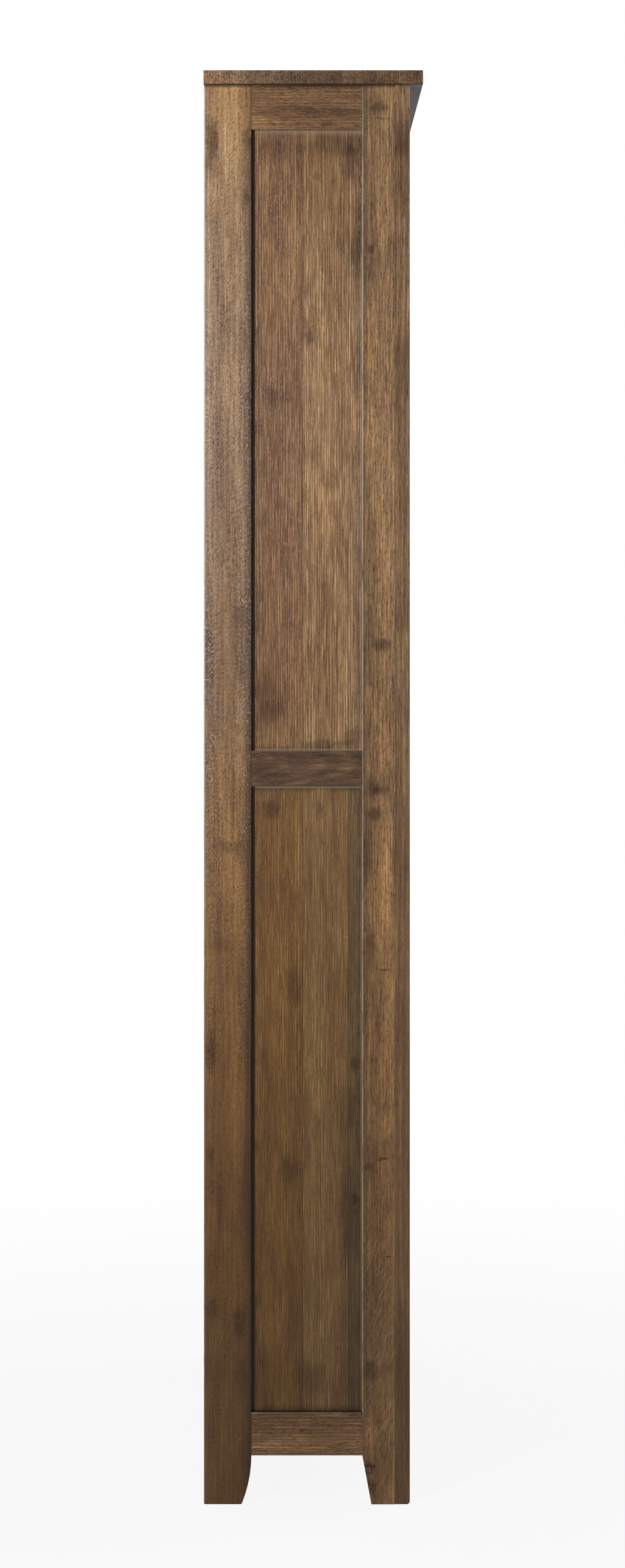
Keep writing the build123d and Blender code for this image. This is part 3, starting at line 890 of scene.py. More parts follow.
@dataclass(frozen=True)
class PlasticFinish:
    """A moulded plastic with a fine spark texture."""

    name: str
    shade: Colour
    dark_share: float = 0.7
    spark: float = 2600
    cloud: float = 120
    relief: tuple[float, float] = (0.3, 0.0001)

    def make(self) -> bpy.types.Material:
        """Make the plastic's material.

        Returns:
            The material.
        """
        material, g = start_material(self.name)
        place = g.node("TexCoord", {}).outputs["Object"]
        cloud = g.noise(place, self.cloud, 2)
        darker = tuple(self.dark_share * part for part in self.shade[:3]) + (1,)
        colour = g.blend(cloud, darker, self.shade)
        g.coat(colour, g.window(cloud, 0.3, 0.7, 0.42, 0.56), g.noise(place, self.spark, 2), self.relief)
        return material


HONEY = Stain(tint(88, 62, 44), tint(150, 117, 80), tint(196, 160, 116))
GOLD = Stain(tint(84, 58, 38), tint(138, 105, 70), tint(186, 148, 102))
PANEL = Stain(tint(86, 60, 40), tint(132, 101, 68), tint(182, 148, 108))
RAIL = Stain(tint(70, 46, 30), tint(122, 90, 60), tint(170, 134, 94))
EDGE = Stain(tint(76, 52, 36), tint(132, 101, 70), tint(178, 142, 100))
DARK = Stain(tint(58, 40, 28), tint(104, 77, 55), tint(144, 110, 78))
TAN_CAST: Colour = (0.98, 0.86, 0.76, 1)
OCHRE_CAST: Colour = (0.86, 0.74, 0.48, 1)
OLIVE_CAST: Colour = (1.03, 1, 0.88, 1)
PALE_CAST: Colour = (1.28, 1.28, 1.2, 1)
ASH_CAST: Colour = (1.2, 1.24, 1.24, 1)
SHADOW_CAST: Colour = (0.66, 0.7, 0.66, 1)

AGED_BRASS = MetalFinish("aged_brass_patina", tint(158, 122, 76), tint(104, 76, 46), 0.36)
BRUSHED_STEEL = MetalFinish("brushed_steel_zinc", tint(196, 196, 198), tint(128, 128, 130), 0.3)
BROWN_PLASTIC = PlasticFinish("brown_plastic_moulded", tint(64, 44, 32))


def place_marks(*rows: tuple[float, ...]) -> tuple[Mark, ...]:
    """Make marks of rows: across, along, half width, half length, depth, tilt and rag."""
    return tuple(Mark(*row) for row in rows)


# Two light marks are painted light: the first, a warm reflection just under the top, and (0.02, 0.9655), a
# glint on the inner arris.
REAR_STILE_MARKS = place_marks(
    (0.45, 0.998, 0.028, 0.006, -0.35), (0.82, 0.962, 0.011, 0.042, 0.65), (0.08, 0.962, 0.009, 0.024, 0.55),
    (0.9, 0.946, 0.008, 0.018, 0.4), (0.78, 0.922, 0.016, 0.04, -0.6), (0.9, 0.76, 0.012, 0.06, -0.3),
    (0.22, 0.82, 0.018, 0.04, 0.3), (0.1, 0.92, 0.008, 0.012, 0.4), (0.22, 0.626, 0.014, 0.022, 0.35),
    (0.2, 0.585, 0.004, 0.022, 0.45), (0.5, 0.463, 0.026, 0.014, 0.4), (0.6, 0.394, 0.02, 0.016, 0.35),
    (0.84, 0.318, 0.012, 0.04, 0.6), (0.85, 0.247, 0.01, 0.018, 0.4), (0.24, 0.335, 0.009, 0.07, -0.25),
    (0.86, 0.2, 0.012, 0.05, -0.7), (0.82, 0.137, 0.013, 0.024, 0.45), (0.12, 0.225, 0.012, 0.09, 0.35),
    (0.25, 0.128, 0.013, 0.036, 0.65), (0.02, 0.9655, 0.0022, 0.0062, -1.4, 0, 0.2),
    (0.22, 0.09, 0.014, 0.04, 0.4), (0.22, 0.459, 0.013, 0.03, 0.35), (0.22, 0.518, 0.013, 0.028, -0.35),
)
FRONT_STILE_MARKS = place_marks(
    (0.48, 0.984, 0.015, 0.012, 0.7), (0.42, 0.977, 0.017, 0.0022, 0.7, 0.05),
    (0.76, 0.884, 0.007, 0.009, 0.6, 0.5), (0.8, 0.868, 0.002, 0.022, 0.6, 0.06),
    (0.2, 0.885, 0.012, 0.04, 0.35), (0.76, 0.82, 0.013, 0.07, -0.8), (0.76, 0.755, 0.013, 0.07, -0.7),
    (0.72, 0.505, 0.015, 0.028, 0.55), (0.84, 0.455, 0.008, 0.06, 0.5), (0.18, 0.03, 0.014, 0.06, 0.4),
    (0.78, 0.046, 0.012, 0.046, -0.8), (0.76, 0.33, 0.011, 0.034, -0.5), (0.26, 0.268, 0.01, 0.03, -0.4),
    (0.24, 0.092, 0.013, 0.024, 0.35), (0.72, 0.566, 0.012, 0.032, -0.5), (0.74, 0.094, 0.013, 0.022, 0.6),
    (0.4, 0.605, 0.019, 0.012, 0.65, 0.1), (0.45, 0.503, 0.019, 0.01, 0.55), (0.6, 0.486, 0.018, 0.014, 0.6),
    (0.29, 0.44, 0.009, 0.095, -0.55), (0.75, 0.392, 0.01, 0.042, 0.5), (0.3, 0.377, 0.007, 0.0018, 0.9, 0.08),
    (0.4, 0.312, 0.012, 0.045, -0.35), (0.36, 0.243, 0.011, 0.0016, 0.9, -0.12),
    (0.36, 0.239, 0.01, 0.0024, -0.4), (0.8, 0.2375, 0.01, 0.009, 0.5), (0.2, 0.174, 0.008, 0.0016, 0.9),
    (0.87, 0.098, 0.007, 0.002, 0.6), (0.72, 0.012, 0.01, 0.013, 0.6),
    (0.8, 0.0252, 0.0105, 0.0095, 1.6, 0.15, 1.6), (0.82, 0.025, 0.0078, 0.0058, -2.2, 0.15, 1.6),
)
UPPER_PANEL_MARKS = place_marks(
    (0.056, 0.9, 0.0024, 0.13, 0.9), (0.09, 0.79, 0.014, 0.05, 0.7), (0.09, 0.52, 0.011, 0.08, -0.7, 0, 0.3),
    (0.3, 0.968, 0.06, 0.022, 0.45), (0.82, 0.09, 0.036, 0.06, 0.4), (0.82, 0.28, 0.044, 0.29, 0.24, 0, 0.5),
    (0.36, 0.56, 0.02, 0.18, -0.2), (0.36, 0.385, 0.024, 0.07, -0.35), (0.2, 0.62, 0.024, 0.07, -0.4),
    (0.143, 0.943, 0.014, 0.045, 0.6), (0.75, 0.962, 0.034, 0.024, 0.4), (0.42, 0.918, 0.008, 0.01, 0.35),
    (0.472, 0.664, 0.008, 0.016, 0.6), (0.78, 0.57, 0.024, 0.018, 0.35), (0.8, 0.07, 0.024, 0.02, 0.2),
    (0.35, 0.018, 0.048, 0.009, 0.5), (0.15, 0.03, 0.011, 0.02, 0.55),
)
LOWER_PANEL_MARKS = place_marks(
    (0.8, 0.953, 0.02, 0.018, 0.6), (0.4, 0.957, 0.01, 0.018, 0.45), (0.6, 0.675, 0.013, 0.036, 0.45),
    (0.1, 0.553, 0.008, 0.016, 0.7), (0.1, 0.344, 0.006, 0.012, 0.4), (0.65, 0.384, 0.017, 0.027, 0.45),
    (0.49, 0.548, 0.007, 0.026, -0.45), (0.48, 0.06, 0.036, 0.032, 0.4), (0.15, 0.32, 0.022, 0.1, 0.55),
    (0.18, 0.48, 0.024, 0.05, 0.35), (0.185, 0.12, 0.013, 0.16, 0.25), (0.8, 0.16, 0.034, 0.06, -0.25, 0, 0.3),
)
FACE_EDGE_MARKS = place_marks(
    (0, 0.963, 0.012, 0.042, 0.45), (0, 0.94, 0.012, 0.085, 0.4), (0, 0.795, 0.012, 0.085, 0.4),
    (0, 0.63, 0.012, 0.045, 0.3), (0, 0.46, 0.012, 0.11, 0.35), (0, 0.11, 0.012, 0.09, 0.15),
)
TOP_RAIL_MARKS = place_marks(
    (0.13, 0.732, 0.006, 0.01, 0.5), (0.12, 0.371, 0.006, 0.016, 0.45),
)

FIELD_PANEL = OakFinish(
    Grain.FRONT_UPRIGHT, PANEL, 0, pitch=0.0029, sway=0.004, ripple=0.0024, rings=0.42, line_rate=800,
    # Panels get painted shade along their borders in the recess.
    lines=0.3, hair=0.12, pores=0.4, pore_rate=150, streaks=0.2, broad=0.5, clouds=0.35, glaze=0.7,
    recess_shade_reach=0.018, wear=(0, 0),
)
FRAME_BOARD = OakFinish(
    Grain.FRONT_UPRIGHT, GOLD, 0, pitch=0.0034, pith=(0.06, 0.06), line_rate=900, lines=0.35, pore_rate=110,
    glints=0.15, streaks=0.55, broad=0.7, clouds=0.35,
)
FRAME_RAIL = replace(FRAME_BOARD, grain=Grain.FRONT_LEVEL, sway=0.012)
SIDE_RAIL = OakFinish(
    Grain.SIDE_LEVEL, GOLD, 0, pith=(0.09, 0.06), lines=0.12, hair=0.2, pores=0.8, streaks=0.8, glints=0.1,
    wear=(0, 0.1),
)
# Painted shadow under the top's overhang.
SHADOW_UNDER_TOP = EdgeLine(Side.HIGH_ALONG, PAINTED_SHADOW, 0.55, 0.0042, 0.4)


@dataclass
class SideFrame:
    """One framed side: two stiles, three rails and two panels."""

    hand: str
    seed: float
    turned: bool = False
    groove: float = 0.007
    joints: tuple[float, float] = (0.157, 0.532)

    def turn_marks(self, marks: tuple[Mark, ...]) -> tuple[Mark, ...]:
        """Give a board's marks, turned end for end where this side's boards are."""
        return tuple(replace(mark, along=1 - mark.along) for mark in marks) if self.turned else marks

    def dress(self) -> None:
        """Finish the side's seven boards."""
        boards = self.finish_stiles() | self.finish_rails() | self.finish_panels()
        for part, finish in boards.items():
            finish.dress(f"{self.hand}_side_{part}")

    def finish_stiles(self) -> dict[str, OakFinish]:
        """Choose the stiles' finishes.

        Returns:
            The finishes by board.
        """
        rear = OakFinish(
            Grain.SIDE_UPRIGHT, HONEY, self.seed + 1, pitch=0.0052, pith=(-0.12, 0.09), rings=0.1, lines=0.2,
            hair=0.35, slant=0.4, pores=0.8, pore_rate=330, streaks=0.5, glints=1,
            # Painted glints on the rear stile, in its middle height and near both edges.
            glints_along=((0, 0), (0.3, 0.05), (0.45, 0.5), (0.55, 1), (0.84, 1), (0.9, 0.2), (1, 0.1)),
            glints_across=((0, 1), (0.2, 0.95), (0.4, 0.3), (0.6, 0.25), (0.8, 0.8), (1, 1)),
            figure_along=((0, 0.6), (0.3, 0.6), (0.45, 1), (1, 0.9)), clouds=0.35, wear=(0, 1),
            # Tone with painted light: darker towards the bottom, with a painted bluish sheen in the upper
            # middle.
            tone_and_light_along=(
                (0, 0.21, 0.19, 0.14), (0.18, 0.21, 0.18, 0.12), (0.3, 0.33, 0.27, 0.18),
                (0.45, 0.42, 0.38, 0.3), (0.6, 0.44, 0.44, 0.47), (0.7, 0.47, 0.5, 0.62),
                (0.8, 0.5, 0.54, 0.7), (0.93, 0.64, 0.7, 0.84), (0.97, 0.58, 0.58, 0.6),
                (1, 0.7, 0.68, 0.66),
            ),
            tone_and_light_across=(
                (0, 0.2, 0.19, 0.18), (0.14, 0.4, 0.38, 0.33), (0.3, 0.5, 0.48, 0.42), (0.5, 0.52, 0.5, 0.46),
                (0.8, 0.5), (1, 0.5, 0.51, 0.54),
            ),
            marks=self.turn_marks(REAR_STILE_MARKS),
            edge_lines=(
                # Painted highlight on the rear arris, and painted shadow beside the recess.
                EdgeLine(
                    Side.HIGH_ACROSS, COOL_PAINTED_HIGHLIGHT, 0.8, 0.0018, fade=((0, 0.1), (0.4, 0.3), (0.7, 1), (1, 1))
                ),
                EdgeLine(Side.LOW_ACROSS, PAINTED_SHADOW, 0.5, 0.01, 0, ((0, 0.3), (0.5, 0.9), (0.9, 1), (0.93, 0))),
                SHADOW_UNDER_TOP,
            ),
        )
        front = OakFinish(
            Grain.SIDE_UPRIGHT, GOLD, self.seed + 2, pitch=0.0038, pith=(0.05, 0.04), ripple=0.0014, rings=0.22,
            line_rate=900, lines=0.4, pores=0.9, pore_rate=110, streaks=0.32, glints=0.5,
            glints_along=((0, 0), (0.35, 0), (0.5, 0.4), (0.7, 0.8), (1, 0.4)),
            glints_across=((0, 1), (0.4, 0.9), (0.7, 0.4), (1, 0.5)),
            figure_along=((0, 0.55), (0.35, 0.7), (0.5, 0.9), (1, 0.8)), clouds=0.35, wear=(0.1, 0.6),
            rays_along=((0, 0.3), (0.12, 0.45), (0.18, 0.5), (0.21, 0), (1, 0)),
            tone_and_light_along=(
                (0, 0.42), (0.08, 0.29), (0.2, 0.38), (0.35, 0.48, 0.46, 0.42), (0.5, 0.46, 0.45, 0.43),
                (0.6, 0.5), (0.87, 0.5), (0.95, 0.42), (1, 0.52),
            ),
            tone_and_light_across=((0, 0.66), (0.3, 0.64), (0.55, 0.52), (0.8, 0.43), (1, 0.4)),
            marks=self.turn_marks(FRONT_STILE_MARKS),
            edge_lines=(
                # Painted shadow beside the recess, and a painted highlight on the inner arris.
                EdgeLine(Side.HIGH_ACROSS, PAINTED_SHADOW, 0.35, 0.01, 0, ((0, 0.3), (0.5, 1), (0.9, 1), (1, 0.5))),
                EdgeLine(
                    Side.HIGH_ACROSS, COOL_PAINTED_HIGHLIGHT, 0.45, 0.0013,
                    fade=((0, 0), (0.1, 0.2), (0.5, 0.7), (0.8, 1), (1, 0.6)),
                ),
                SHADOW_UNDER_TOP,
            ),
        )
        return {"rear_stile": rear, "front_stile": front}

    def finish_rails(self) -> dict[str, OakFinish]:
        """Choose the rails' finishes.

        Returns:
            The finishes by board.
        """
        # Painted glint on the ledge near the rear stile.
        glint = EdgeLine(
            Side.HIGH_ACROSS, PALE_PAINTED_HIGHLIGHT, 1, 0.0018, fade=((0, 0), (0.78, 0), (0.84, 1), (0.9, 0), (1, 0))
        )
        return {
            "top_rail": replace(
                SIDE_RAIL, stain=RAIL, seed=self.seed + 3, pitch=0.0028, ripple=0.0016,
                tone_and_light_across=((0, 0.46), (0.7, 0.46), (1, 0.36)),
                tone_and_light_along=((0, 0.42, 0.39, 0.36), (0.5, 0.47, 0.44, 0.41), (1, 0.66, 0.64, 0.6)),
                marks=self.turn_marks(TOP_RAIL_MARKS), edge_lines=(replace(SHADOW_UNDER_TOP, side=Side.HIGH_ACROSS),),
            ),
            "middle_rail": replace(
                SIDE_RAIL, stain=DARK, seed=self.seed + 4, pitch=0.0048, pith=(0.006, 0.034), taper=-0.12,
                ripple=0.002, rings=0.2, clouds=0.7, pores=0.5, hair=0.1, streaks=0.7,
                tone_and_light_along=((0, 0.38), (0.45, 0.4), (1, 0.52)),
                # Painted shadow along the middle rail's lower edge.
                edge_lines=(EdgeLine(Side.LOW_ACROSS, PAINTED_SHADOW, 0.6, 0.004, 0.2),),
            ),
            "bottom_rail": replace(
                # A full weight paints the ledge above this rail dark as painted shade.
                SIDE_RAIL, seed=self.seed + 5, pitch=0.0034, ripple=0.0024, streaks=0.6, edge=1,
                tone_and_light_along=((0, 0.42), (0.5, 0.46), (1, 0.36)), edge_lines=(glint,),
            ),
        }

    def finish_panels(self) -> dict[str, OakFinish]:
        """Choose the panels' finishes.

        Returns:
            The finishes by board.
        """
        # Painted highlight along the panel's front edge.
        lit = EdgeLine(
            Side.LOW_ACROSS, PAINTED_HIGHLIGHT, 0.5, self.groove + 0.0038, 0.62, ((0, 0.5), (0.7, 1), (0.95, 0.2))
        )
        # Painted shadow: the sharp shade the rear stile casts on the panel.
        corner = EdgeLine(Side.HIGH_ACROSS, PAINTED_SHADOW, 0.85, self.groove + 0.0052, 0.92)
        upper = replace(
            FIELD_PANEL, grain=Grain.SIDE_UPRIGHT, seed=self.seed + 6, joints=self.joints,
            glints_across=((0, 0.3), (0.5, 0.4), (0.6, 1), (1, 1.2)), casts=(ASH_CAST, PALE_CAST, TAN_CAST),
            tone_and_light_along=(
                (0, 0.5), (0.3, 0.5, 0.5, 0.53), (0.55, 0.49, 0.5, 0.57), (0.8, 0.51), (1, 0.4, 0.37, 0.31),
            ),
            marks=self.turn_marks(UPPER_PANEL_MARKS),
            edge_lines=(
                # Painted highlights where the panel meets the rails.
                EdgeLine(Side.LOW_ALONG, PAINTED_HIGHLIGHT, 0.5, self.groove + 0.0038),
                EdgeLine(Side.HIGH_ALONG, PAINTED_HIGHLIGHT, 0.35, self.groove + 0.009, 0.4),
                lit,
                corner,
            ),
        )
        lower = replace(
            upper, seed=self.seed + 7, lines=0.27, rings=0.28, glints_along=((0, 0), (0.6, 0.1), (1, 0.6)),
            figure_along=((0, 0.8), (1, 0.9)), casts=(SHADOW_CAST, OLIVE_CAST, OCHRE_CAST),
            tone_and_light_along=((0, 0.3, 0.3, 0.29), (0.3, 0.37, 0.37, 0.33), (0.7, 0.44, 0.44, 0.4), (1, 0.5)),
            marks=self.turn_marks(LOWER_PANEL_MARKS),
            edge_lines=(
                # Painted highlight under the middle rail, and painted shadow on the ledge above the bottom
                # rail.
                EdgeLine(Side.HIGH_ALONG, PALE_PAINTED_HIGHLIGHT, 0.8, self.groove + 0.0042),
                EdgeLine(Side.LOW_ALONG, PAINTED_SHADOW, 0.8, self.groove + 0.0016),
                lit,
                corner,
            ),
        )
        return {"upper_panel": upper, "lower_panel": lower}


def dress_boards(finish: OakFinish, seed: float, prefix: str, boards: str) -> None:
    """Finish boards alike, each sawn from another part of the log.

    Args:
        finish: Their finish.
        seed: The first board's seed.
        prefix: What the boards' CAD nodes all start with.
        boards: The rest of each node's name.
    """
    for offset, board in enumerate(boards.split()):
        replace(finish, seed=seed + offset).dress(prefix + board)


def space_joints(staves: int) -> tuple[float, ...]:
    """Give the joints between staves of one width."""
    return tuple(step / staves for step in range(1, staves))


@dataclass
class FaceFrame:
    """The front's two stiles and two rails."""

    seed: float = 30

    def dress(self) -> None:
        """Finish the face frame."""
        stile = OakFinish(
            Grain.FRONT_UPRIGHT, EDGE, self.seed, pitch=0.004, pith=(0.05, 0.06), pore_rate=70, glints=0.4,
            glints_along=((0, 0), (0.4, 0), (0.6, 0.6), (1, 1)),
            figure_along=((0, 0.5), (0.35, 0.6), (0.6, 0.85), (1, 1)), streaks=0.5, broad=0.8, clouds=0.3,
            tone_and_light_along=((0, 0.34), (0.14, 0.34), (0.26, 0.56), (0.6, 0.66), (1, 0.68, 0.65, 0.6)),
        )
        for offset, hand in enumerate(("left", "right")):
            marks = tuple(replace(mark, across=float(offset)) for mark in FACE_EDGE_MARKS)
            replace(stile, seed=self.seed + offset, marks=marks).dress(f"{hand}_face_stile")
        dress_boards(FRAME_RAIL, self.seed + 3, "face_", "top_rail bottom_rail")


@dataclass
class Door:
    """One door's boards: two stiles, three rails and two panels of glued staves."""

    hand: str
    seed: float
    joints: tuple[float, ...]

    def dress(self) -> None:
        """Finish the door's boards."""
        panel = replace(FIELD_PANEL, joints=self.joints, pith=(0.09, 0.05), taper=0.02)
        for finish, start, boards in (
            (FRAME_BOARD, 0, "hinge_stile meeting_stile"),
            (FRAME_RAIL, 3, "top_rail middle_rail bottom_rail"),
            (panel, 7, "upper_panel lower_panel"),
        ):
            dress_boards(finish, self.seed + start, f"{self.hand}_door_", boards)


@dataclass
class Back:
    """The framed back: three rails and two wide panels."""

    seed: float = 70
    staves: int = 9

    def dress(self) -> None:
        """Finish the back's boards."""
        rail, panel = replace(FRAME_RAIL, stain=RAIL), replace(FIELD_PANEL, joints=space_joints(self.staves))
        dress_boards(rail, self.seed, "back_", "top_rail middle_rail bottom_rail")
        dress_boards(panel, self.seed + 4, "back_", "upper_panel lower_panel")


@dataclass
class Shelving:
    """The deck, the fixed middle shelf, the loose shelves and the cleats."""

    seed: float = 90
    staves: int = 4

    def dress(self) -> None:
        """Finish the boards inside."""
        joints = space_joints(self.staves)
        shelf = replace(FIELD_PANEL, grain=Grain.FLAT, joints=joints, glaze=0, wear=(0.2, 0.2))
        boards = "bottom_deck middle_shelf lower_shelf_1 lower_shelf_2 upper_shelf_1 upper_shelf_2"
        dress_boards(shelf, self.seed, "", boards)
        replace(FRAME_BOARD, grain=Grain.FLAT, stain=RAIL, seed=self.seed + 9).dress("top_cleats")


@dataclass
class TopBoard:
    """The top, glued up from staves whose ends show at both sides."""

    seed: float = 110
    overhang_line: float = 0.431

    def dress(self) -> None:
        """Finish the top."""
        OakFinish(
            Grain.FLAT, GOLD, self.seed, pitch=0.0021, pith=(0.45, 0.02), sway=0.003, ripple=0.0016, rings=0.7,
            # The underside is painted: a grey reflection within the overhang line, shade beyond it.
            lines=0.5, hair=0.3, flecks=1, under=1, under_rim=self.overhang_line, wear=(0.35, 0.35),
            # Lighter and bluer towards the rear end.
            tone_and_light_across=(
                (0, 0.44), (0.35, 0.38), (0.45, 0.32), (0.62, 0.36), (0.8, 0.42), (0.9, 0.7, 0.74, 0.8), (1, 1),
            ),
            joints=(0.15, 0.31, 0.37, 0.475, 0.545, 0.88),
            casts=(PALE_CAST, OLIVE_CAST, ASH_CAST, TAN_CAST, OLIVE_CAST, ASH_CAST, ASH_CAST),
        ).dress("top_board")


@dataclass
class ScrewHeads:
    """Slotted screw heads that sit on one fitting and ride with it."""

    name: str
    body: str
    slot: str
    places: tuple[Vector, ...]
    facing: Vector
    proud: float = 0.0004
    radius: float = 0.0023
    taper: float = 0.84
    groove_half: float = 0.00028
    groove_depth: float = 0.8
    segments: int = 28
    turns: tuple[float, float] = (0.5, 1.3)

    def shape_head(self) -> bpy.types.Mesh:
        """Shape one head that lies at the origin and faces up.

        Returns:
            The head's mesh.
        """
        shape = bmesh.new()
        sizes = {"radius1": self.radius, "radius2": self.radius * self.taper, "depth": self.proud}
        bmesh.ops.create_cone(shape, cap_ends=True, segments=self.segments, **sizes)
        bmesh.ops.translate(shape, verts=shape.verts, vec=(0, 0, self.proud / 2))
        for edge in (-self.groove_half, self.groove_half):
            every = [*shape.verts, *shape.edges, *shape.faces]
            bmesh.ops.bisect_plane(shape, geom=every, plane_co=(edge, 0, 0), plane_no=(1, 0, 0))
        tops = (face for face in shape.faces if face.normal.z > 0.9)
        strip = [face for face in tops if abs(face.calc_center_median().x) < self.groove_half]
        sunk = bmesh.ops.extrude_face_region(shape, geom=strip)["geom"]
        verts = [part for part in sunk if isinstance(part, bmesh.types.BMVert)]
        bmesh.ops.translate(shape, verts=verts, vec=(0, 0, -self.groove_depth * self.proud))
        bmesh.ops.delete(shape, geom=strip, context="FACES")
        bmesh.ops.recalc_face_normals(shape, faces=shape.faces)
        mesh = bpy.data.meshes.new(f"{self.name}_head")
        shape.to_mesh(mesh)
        shape.free()
        return mesh

    def fit(self, material: bpy.types.Material) -> None:
        """Set a head at each place, each turned a little further.

        Args:
            material: The metal's material.
        """
        head = self.shape_head()
        shape = bmesh.new()
        aim = self.facing.to_track_quat("Z", "Y").to_matrix().to_4x4()
        first, step = self.turns
        for order, place in enumerate(self.places):
            before = len(shape.verts)
            shape.from_mesh(head)
            shape.verts.ensure_lookup_table()
            seat = Matrix.Translation(place) @ aim @ Matrix.Rotation(first + step * order, 4, "Z")
            bmesh.ops.transform(shape, matrix=seat, verts=shape.verts[before:])
        bpy.data.meshes.remove(head)
        piece = link_mesh(self.name, shape, material)
        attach(piece, self.body)
        log.info("%s: %d heads on %s", self.name, len(self.places), self.body)


def link_mesh(name: str, shape: bmesh.types.BMesh, material: bpy.types.Material) -> bpy.types.Object:
    """Put a finished shape into the scene.

    Args:
        name: The object's name.
        shape: Its shape, which is freed.
        material: Its material.

    Returns:
        The object.
    """
    mesh = bpy.data.meshes.new(name)
    shape.to_mesh(mesh)
    shape.free()
    mesh.materials.append(material)
    made = bpy.data.objects.new(name, mesh)
    bpy.context.scene.collection.objects.link(made)
    return made


@dataclass
class Hardware:
    """The finishes of the pulls, pins, bushes, catches and strikes, and their slotted screw heads."""

    brass: str = (
        "left_pull_plate right_pull_plate left_pull_ring right_pull_ring left_pull_screws right_pull_screws "
        "pivot_bushes shelf_pins"
    )
    steel: str = "cleat_screws left_door_pivot_pins right_door_pivot_pins left_strike_plate right_strike_plate"
    plastic: str = "magnetic_catches"
    strike_screw_proud: float = 0.0001
    catch_screw_insets: tuple[float, float] = (0.006, 0.034)

    def dress(self) -> None:
        """Finish the metal and plastic parts."""
        brass, steel, plastic = AGED_BRASS.make(), BRUSHED_STEEL.make(), BROWN_PLASTIC.make()
        for nodes, material in ((self.brass, brass), (self.steel, steel), (self.plastic, plastic)):
            for node in nodes.split():
                put_on(node, material)
        for hand in ("left", "right"):
            self.screw_door(hand, brass, steel)
        self.screw_catches(steel)

    def screw_door(self, hand: str, brass: bpy.types.Material, steel: bpy.types.Material) -> None:
        """Give a door's pull and strike plate two slotted heads each. The strike's are nearly flush.

        Args:
            hand: The door's hand.
            brass: The pull screws' metal.
            steel: The strike screws' metal.
        """
        body = f"{hand}_door"
        low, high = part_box(f"{hand}_pull_screws")
        middle, half = (low.x + high.x) / 2, (high.x - low.x) / 2
        places = tuple(Vector((middle, low.y, level)) for level in (low.z + half, high.z - half))
        ScrewHeads(f"{hand}_pull_screw_heads", body, "aged_brass", places, Vector((0, -1, 0))).fit(brass)
        low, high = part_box(f"{hand}_strike_plate")
        level, inset = (low.z + high.z) / 2, (high.z - low.z) / 2
        places = tuple(Vector((across, high.y, level)) for across in (low.x + inset, high.x - inset))
        heads = ScrewHeads(f"{hand}_strike_screws", body, "steel", places, Vector((0, 1, 0)))
        replace(heads, proud=self.strike_screw_proud).fit(steel)

    def screw_catches(self, metal: bpy.types.Material) -> None:
        """Screw the two catches up to the shelf with two heads each.

        Args:
            metal: The heads' material.
        """
        low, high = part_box("magnetic_catches")
        across = [side * (high.x - inset) for side in (-1, 1) for inset in self.catch_screw_insets]
        places = tuple(Vector((x, (low.y + high.y) / 2, low.z)) for x in across)
        ScrewHeads("catch_screws", "cabinet", "steel", places, Vector((0, 0, -1))).fit(metal)


@dataclass(frozen=True)
class SoftBox:
    """One lamp: where it hangs, the point it faces, its width and height, its power in watts and its hue."""

    name: str
    place: tuple[float, float, float]
    aim: tuple[float, float, float]
    size: tuple[float, float]
    power: float
    hue: tuple[float, float, float] = (1, 1, 1)

    def hang(self) -> None:
        """Hang the lamp, out of the camera's sight."""
        lamp = bpy.data.lights.new(self.name, "AREA")
        lamp.shape = "RECTANGLE"
        lamp.size, lamp.size_y = self.size
        lamp.energy, lamp.color = self.power, self.hue
        holder = bpy.data.objects.new(self.name, lamp)
        bpy.context.scene.collection.objects.link(holder)
        holder.location = self.place
        holder.rotation_euler = (Vector(self.aim) - Vector(self.place)).to_track_quat("-Z", "Y").to_euler()
        holder.visible_camera = False


BIG_BOXES = (
    SoftBox("front_box", (1.7, -3, 1.9), (0, 0, 1), (1.6, 1.6), 95),
    SoftBox("rear_box", (2.2, 2.6, 1.8), (0, 0, 1), (1.6, 1.6), 55),
)
WHITE: Colour = (1, 1, 1, 1)


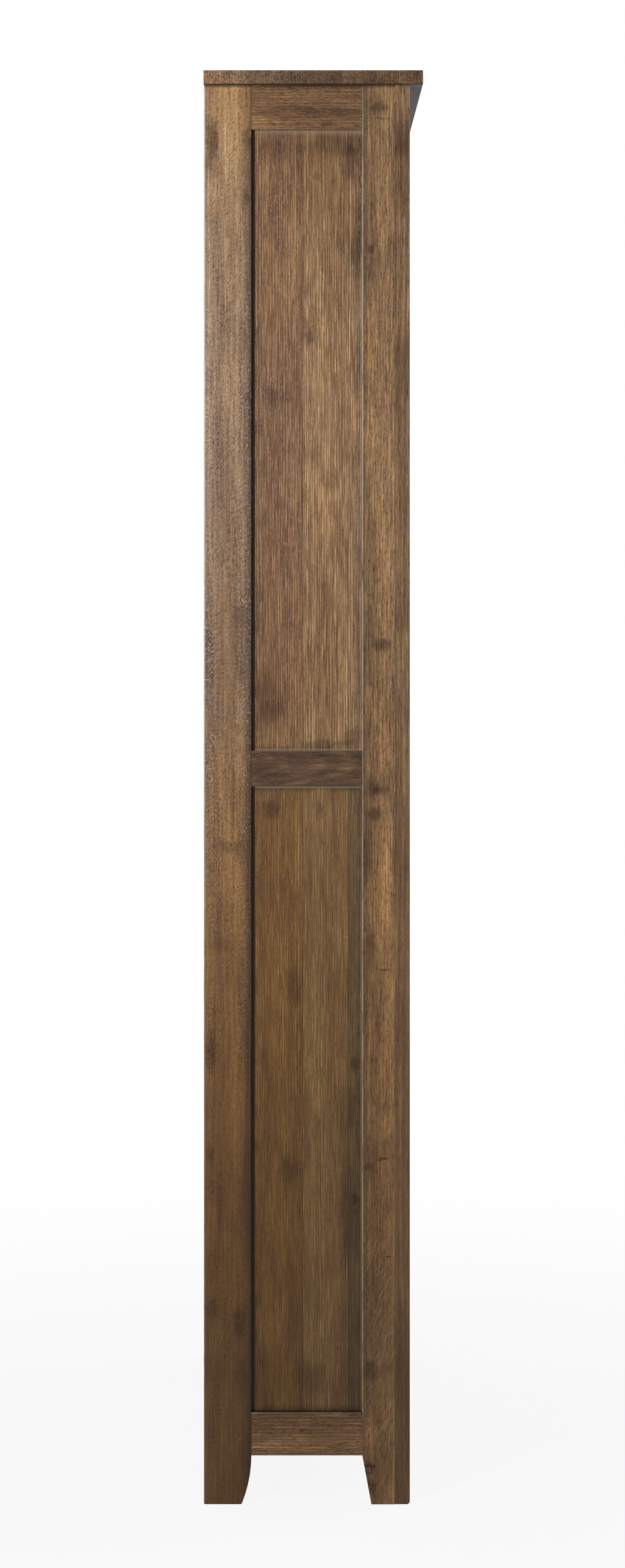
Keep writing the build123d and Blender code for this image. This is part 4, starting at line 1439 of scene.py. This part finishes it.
@dataclass
class Studio:
    """The floor, the lamps, the white surround and the camera."""

    floor_half: float = 14
    floor_paint: Colour = (0.6, 0.6, 0.6, 1)
    floor_glow: float = 0.9
    shadow_start: float = 0.5
    shadow_reach: float = 2.2
    surround_light: Colour = (1, 0.96, 0.9, 1)
    surround_strength: float = 0.2
    strip_distance: float = 1.4
    strip_depth: float = 0.84
    strip_width: float = 0.12
    camera_distance: float = 5
    camera_height: float = 1.34
    camera_step: float = 0.001
    view_height: float = 2.079
    view_middle: float = 0.9552
    sensor: float = 36

    def dress(self) -> None:
        """Set up the studio round the cabinet."""
        low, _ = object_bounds()
        self.lay_floor()
        self.light_surround()
        for name, height, tall, power, hue in (
            ("side_strip", 1.7, 1.1, 25, (0.93, 0.97, 1)),
            ("side_strip_low", 0.5, 1, 3.5, (1, 0.95, 0.88)),
        ):
            place, aim = (low.x - self.strip_distance, self.strip_depth, height), (low.x, 0.02, height)
            SoftBox(name, place, aim, (self.strip_width, tall), power, hue).hang()
        for box in BIG_BOXES:
            box.hang()
        self.place_camera()
        bpy.context.scene.view_settings.view_transform = "Standard"

    def mask_seen(self, g: Graph) -> Wire:
        """Mask what is looked at, straight, in a reflection or through glass, and not what lights.

        Args:
            g: The graph of the floor or the surround.

        Returns:
            The mask.
        """
        rays = g.node("LightPath", {}).outputs
        seen = g.calc("MAXIMUM", rays["Is Camera Ray"], rays["Is Glossy Ray"])
        return g.calc("MAXIMUM", seen, rays["Is Transmission Ray"])

    def lay_floor(self) -> None:
        """Lay the pale floor, which keeps the shadow and turns white further out."""
        material, g = start_material("studio_floor_paint")
        g.tree.nodes.remove(g.tree.nodes["Principled BSDF"])
        paint = g.node("BsdfDiffuse", {"Color": self.floor_paint})
        glow = g.node("Emission", {"Color": WHITE, "Strength": 1})
        away = Arrow(g, g.node("TexCoord", {}).outputs["Object"]).length
        share = self.mask_seen(g) * g.window(away, self.shadow_start, self.shadow_reach, self.floor_glow, 1)
        mixed = g.node("MixShader", {0: share, 1: paint.outputs[0], 2: glow.outputs[0]})
        g.put(mixed.outputs[0], g.tree.nodes["Material Output"].inputs["Surface"])
        shape = bmesh.new()
        bmesh.ops.create_grid(shape, x_segments=1, y_segments=1, size=self.floor_half)
        link_mesh("studio_floor", shape, material)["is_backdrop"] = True

    def light_surround(self) -> None:
        """Make the surround white to look at, and a soft grey as a light."""
        world = bpy.data.worlds.new("studio_surround")
        world.use_nodes = True
        bpy.context.scene.world = world
        g = Graph(world.node_tree)
        seen = self.mask_seen(g)
        back = g.tree.nodes["Background"]
        g.put(g.blend(seen, self.surround_light, WHITE), back.inputs["Color"])
        g.put(g.window(seen, 0, 1, self.surround_strength, 1), back.inputs["Strength"])

    def place_camera(self) -> None:
        """Stand the camera off the left side, level, with its lens shifted down to the cabinet."""
        data = bpy.data.cameras.new("studio_camera")
        data.sensor_width = self.sensor
        data.lens = self.sensor * self.camera_distance / self.view_height
        data.shift_y = (self.view_middle - self.camera_height) / self.view_height
        camera = bpy.data.objects.new("studio_camera", data)
        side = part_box("left_side_front_stile")[0].x
        camera.location = (side - self.camera_distance, self.camera_step, self.camera_height)
        camera.rotation_euler = (math.radians(90), 0, math.radians(-90))
        bpy.context.scene.collection.objects.link(camera)
        bpy.context.scene.camera = camera


def main() -> None:
    """Dress the cabinet and set the studio."""
    logging.basicConfig(level=logging.INFO, format="%(name)s: %(message)s")
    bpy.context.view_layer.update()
    for assembly in (
        SideFrame("left", 0),
        SideFrame("right", 12, turned=True),
        FaceFrame(),
        Door("left", 40, (0.26, 0.48, 0.77)),
        Door("right", 55, (0.2, 0.55, 0.79)),
        Back(),
        Shelving(),
        TopBoard(),
        Hardware(),
        Studio(),
    ):
        assembly.dress()
        log.info("%s done", type(assembly).__name__)


if __name__ == "__main__":
    main()
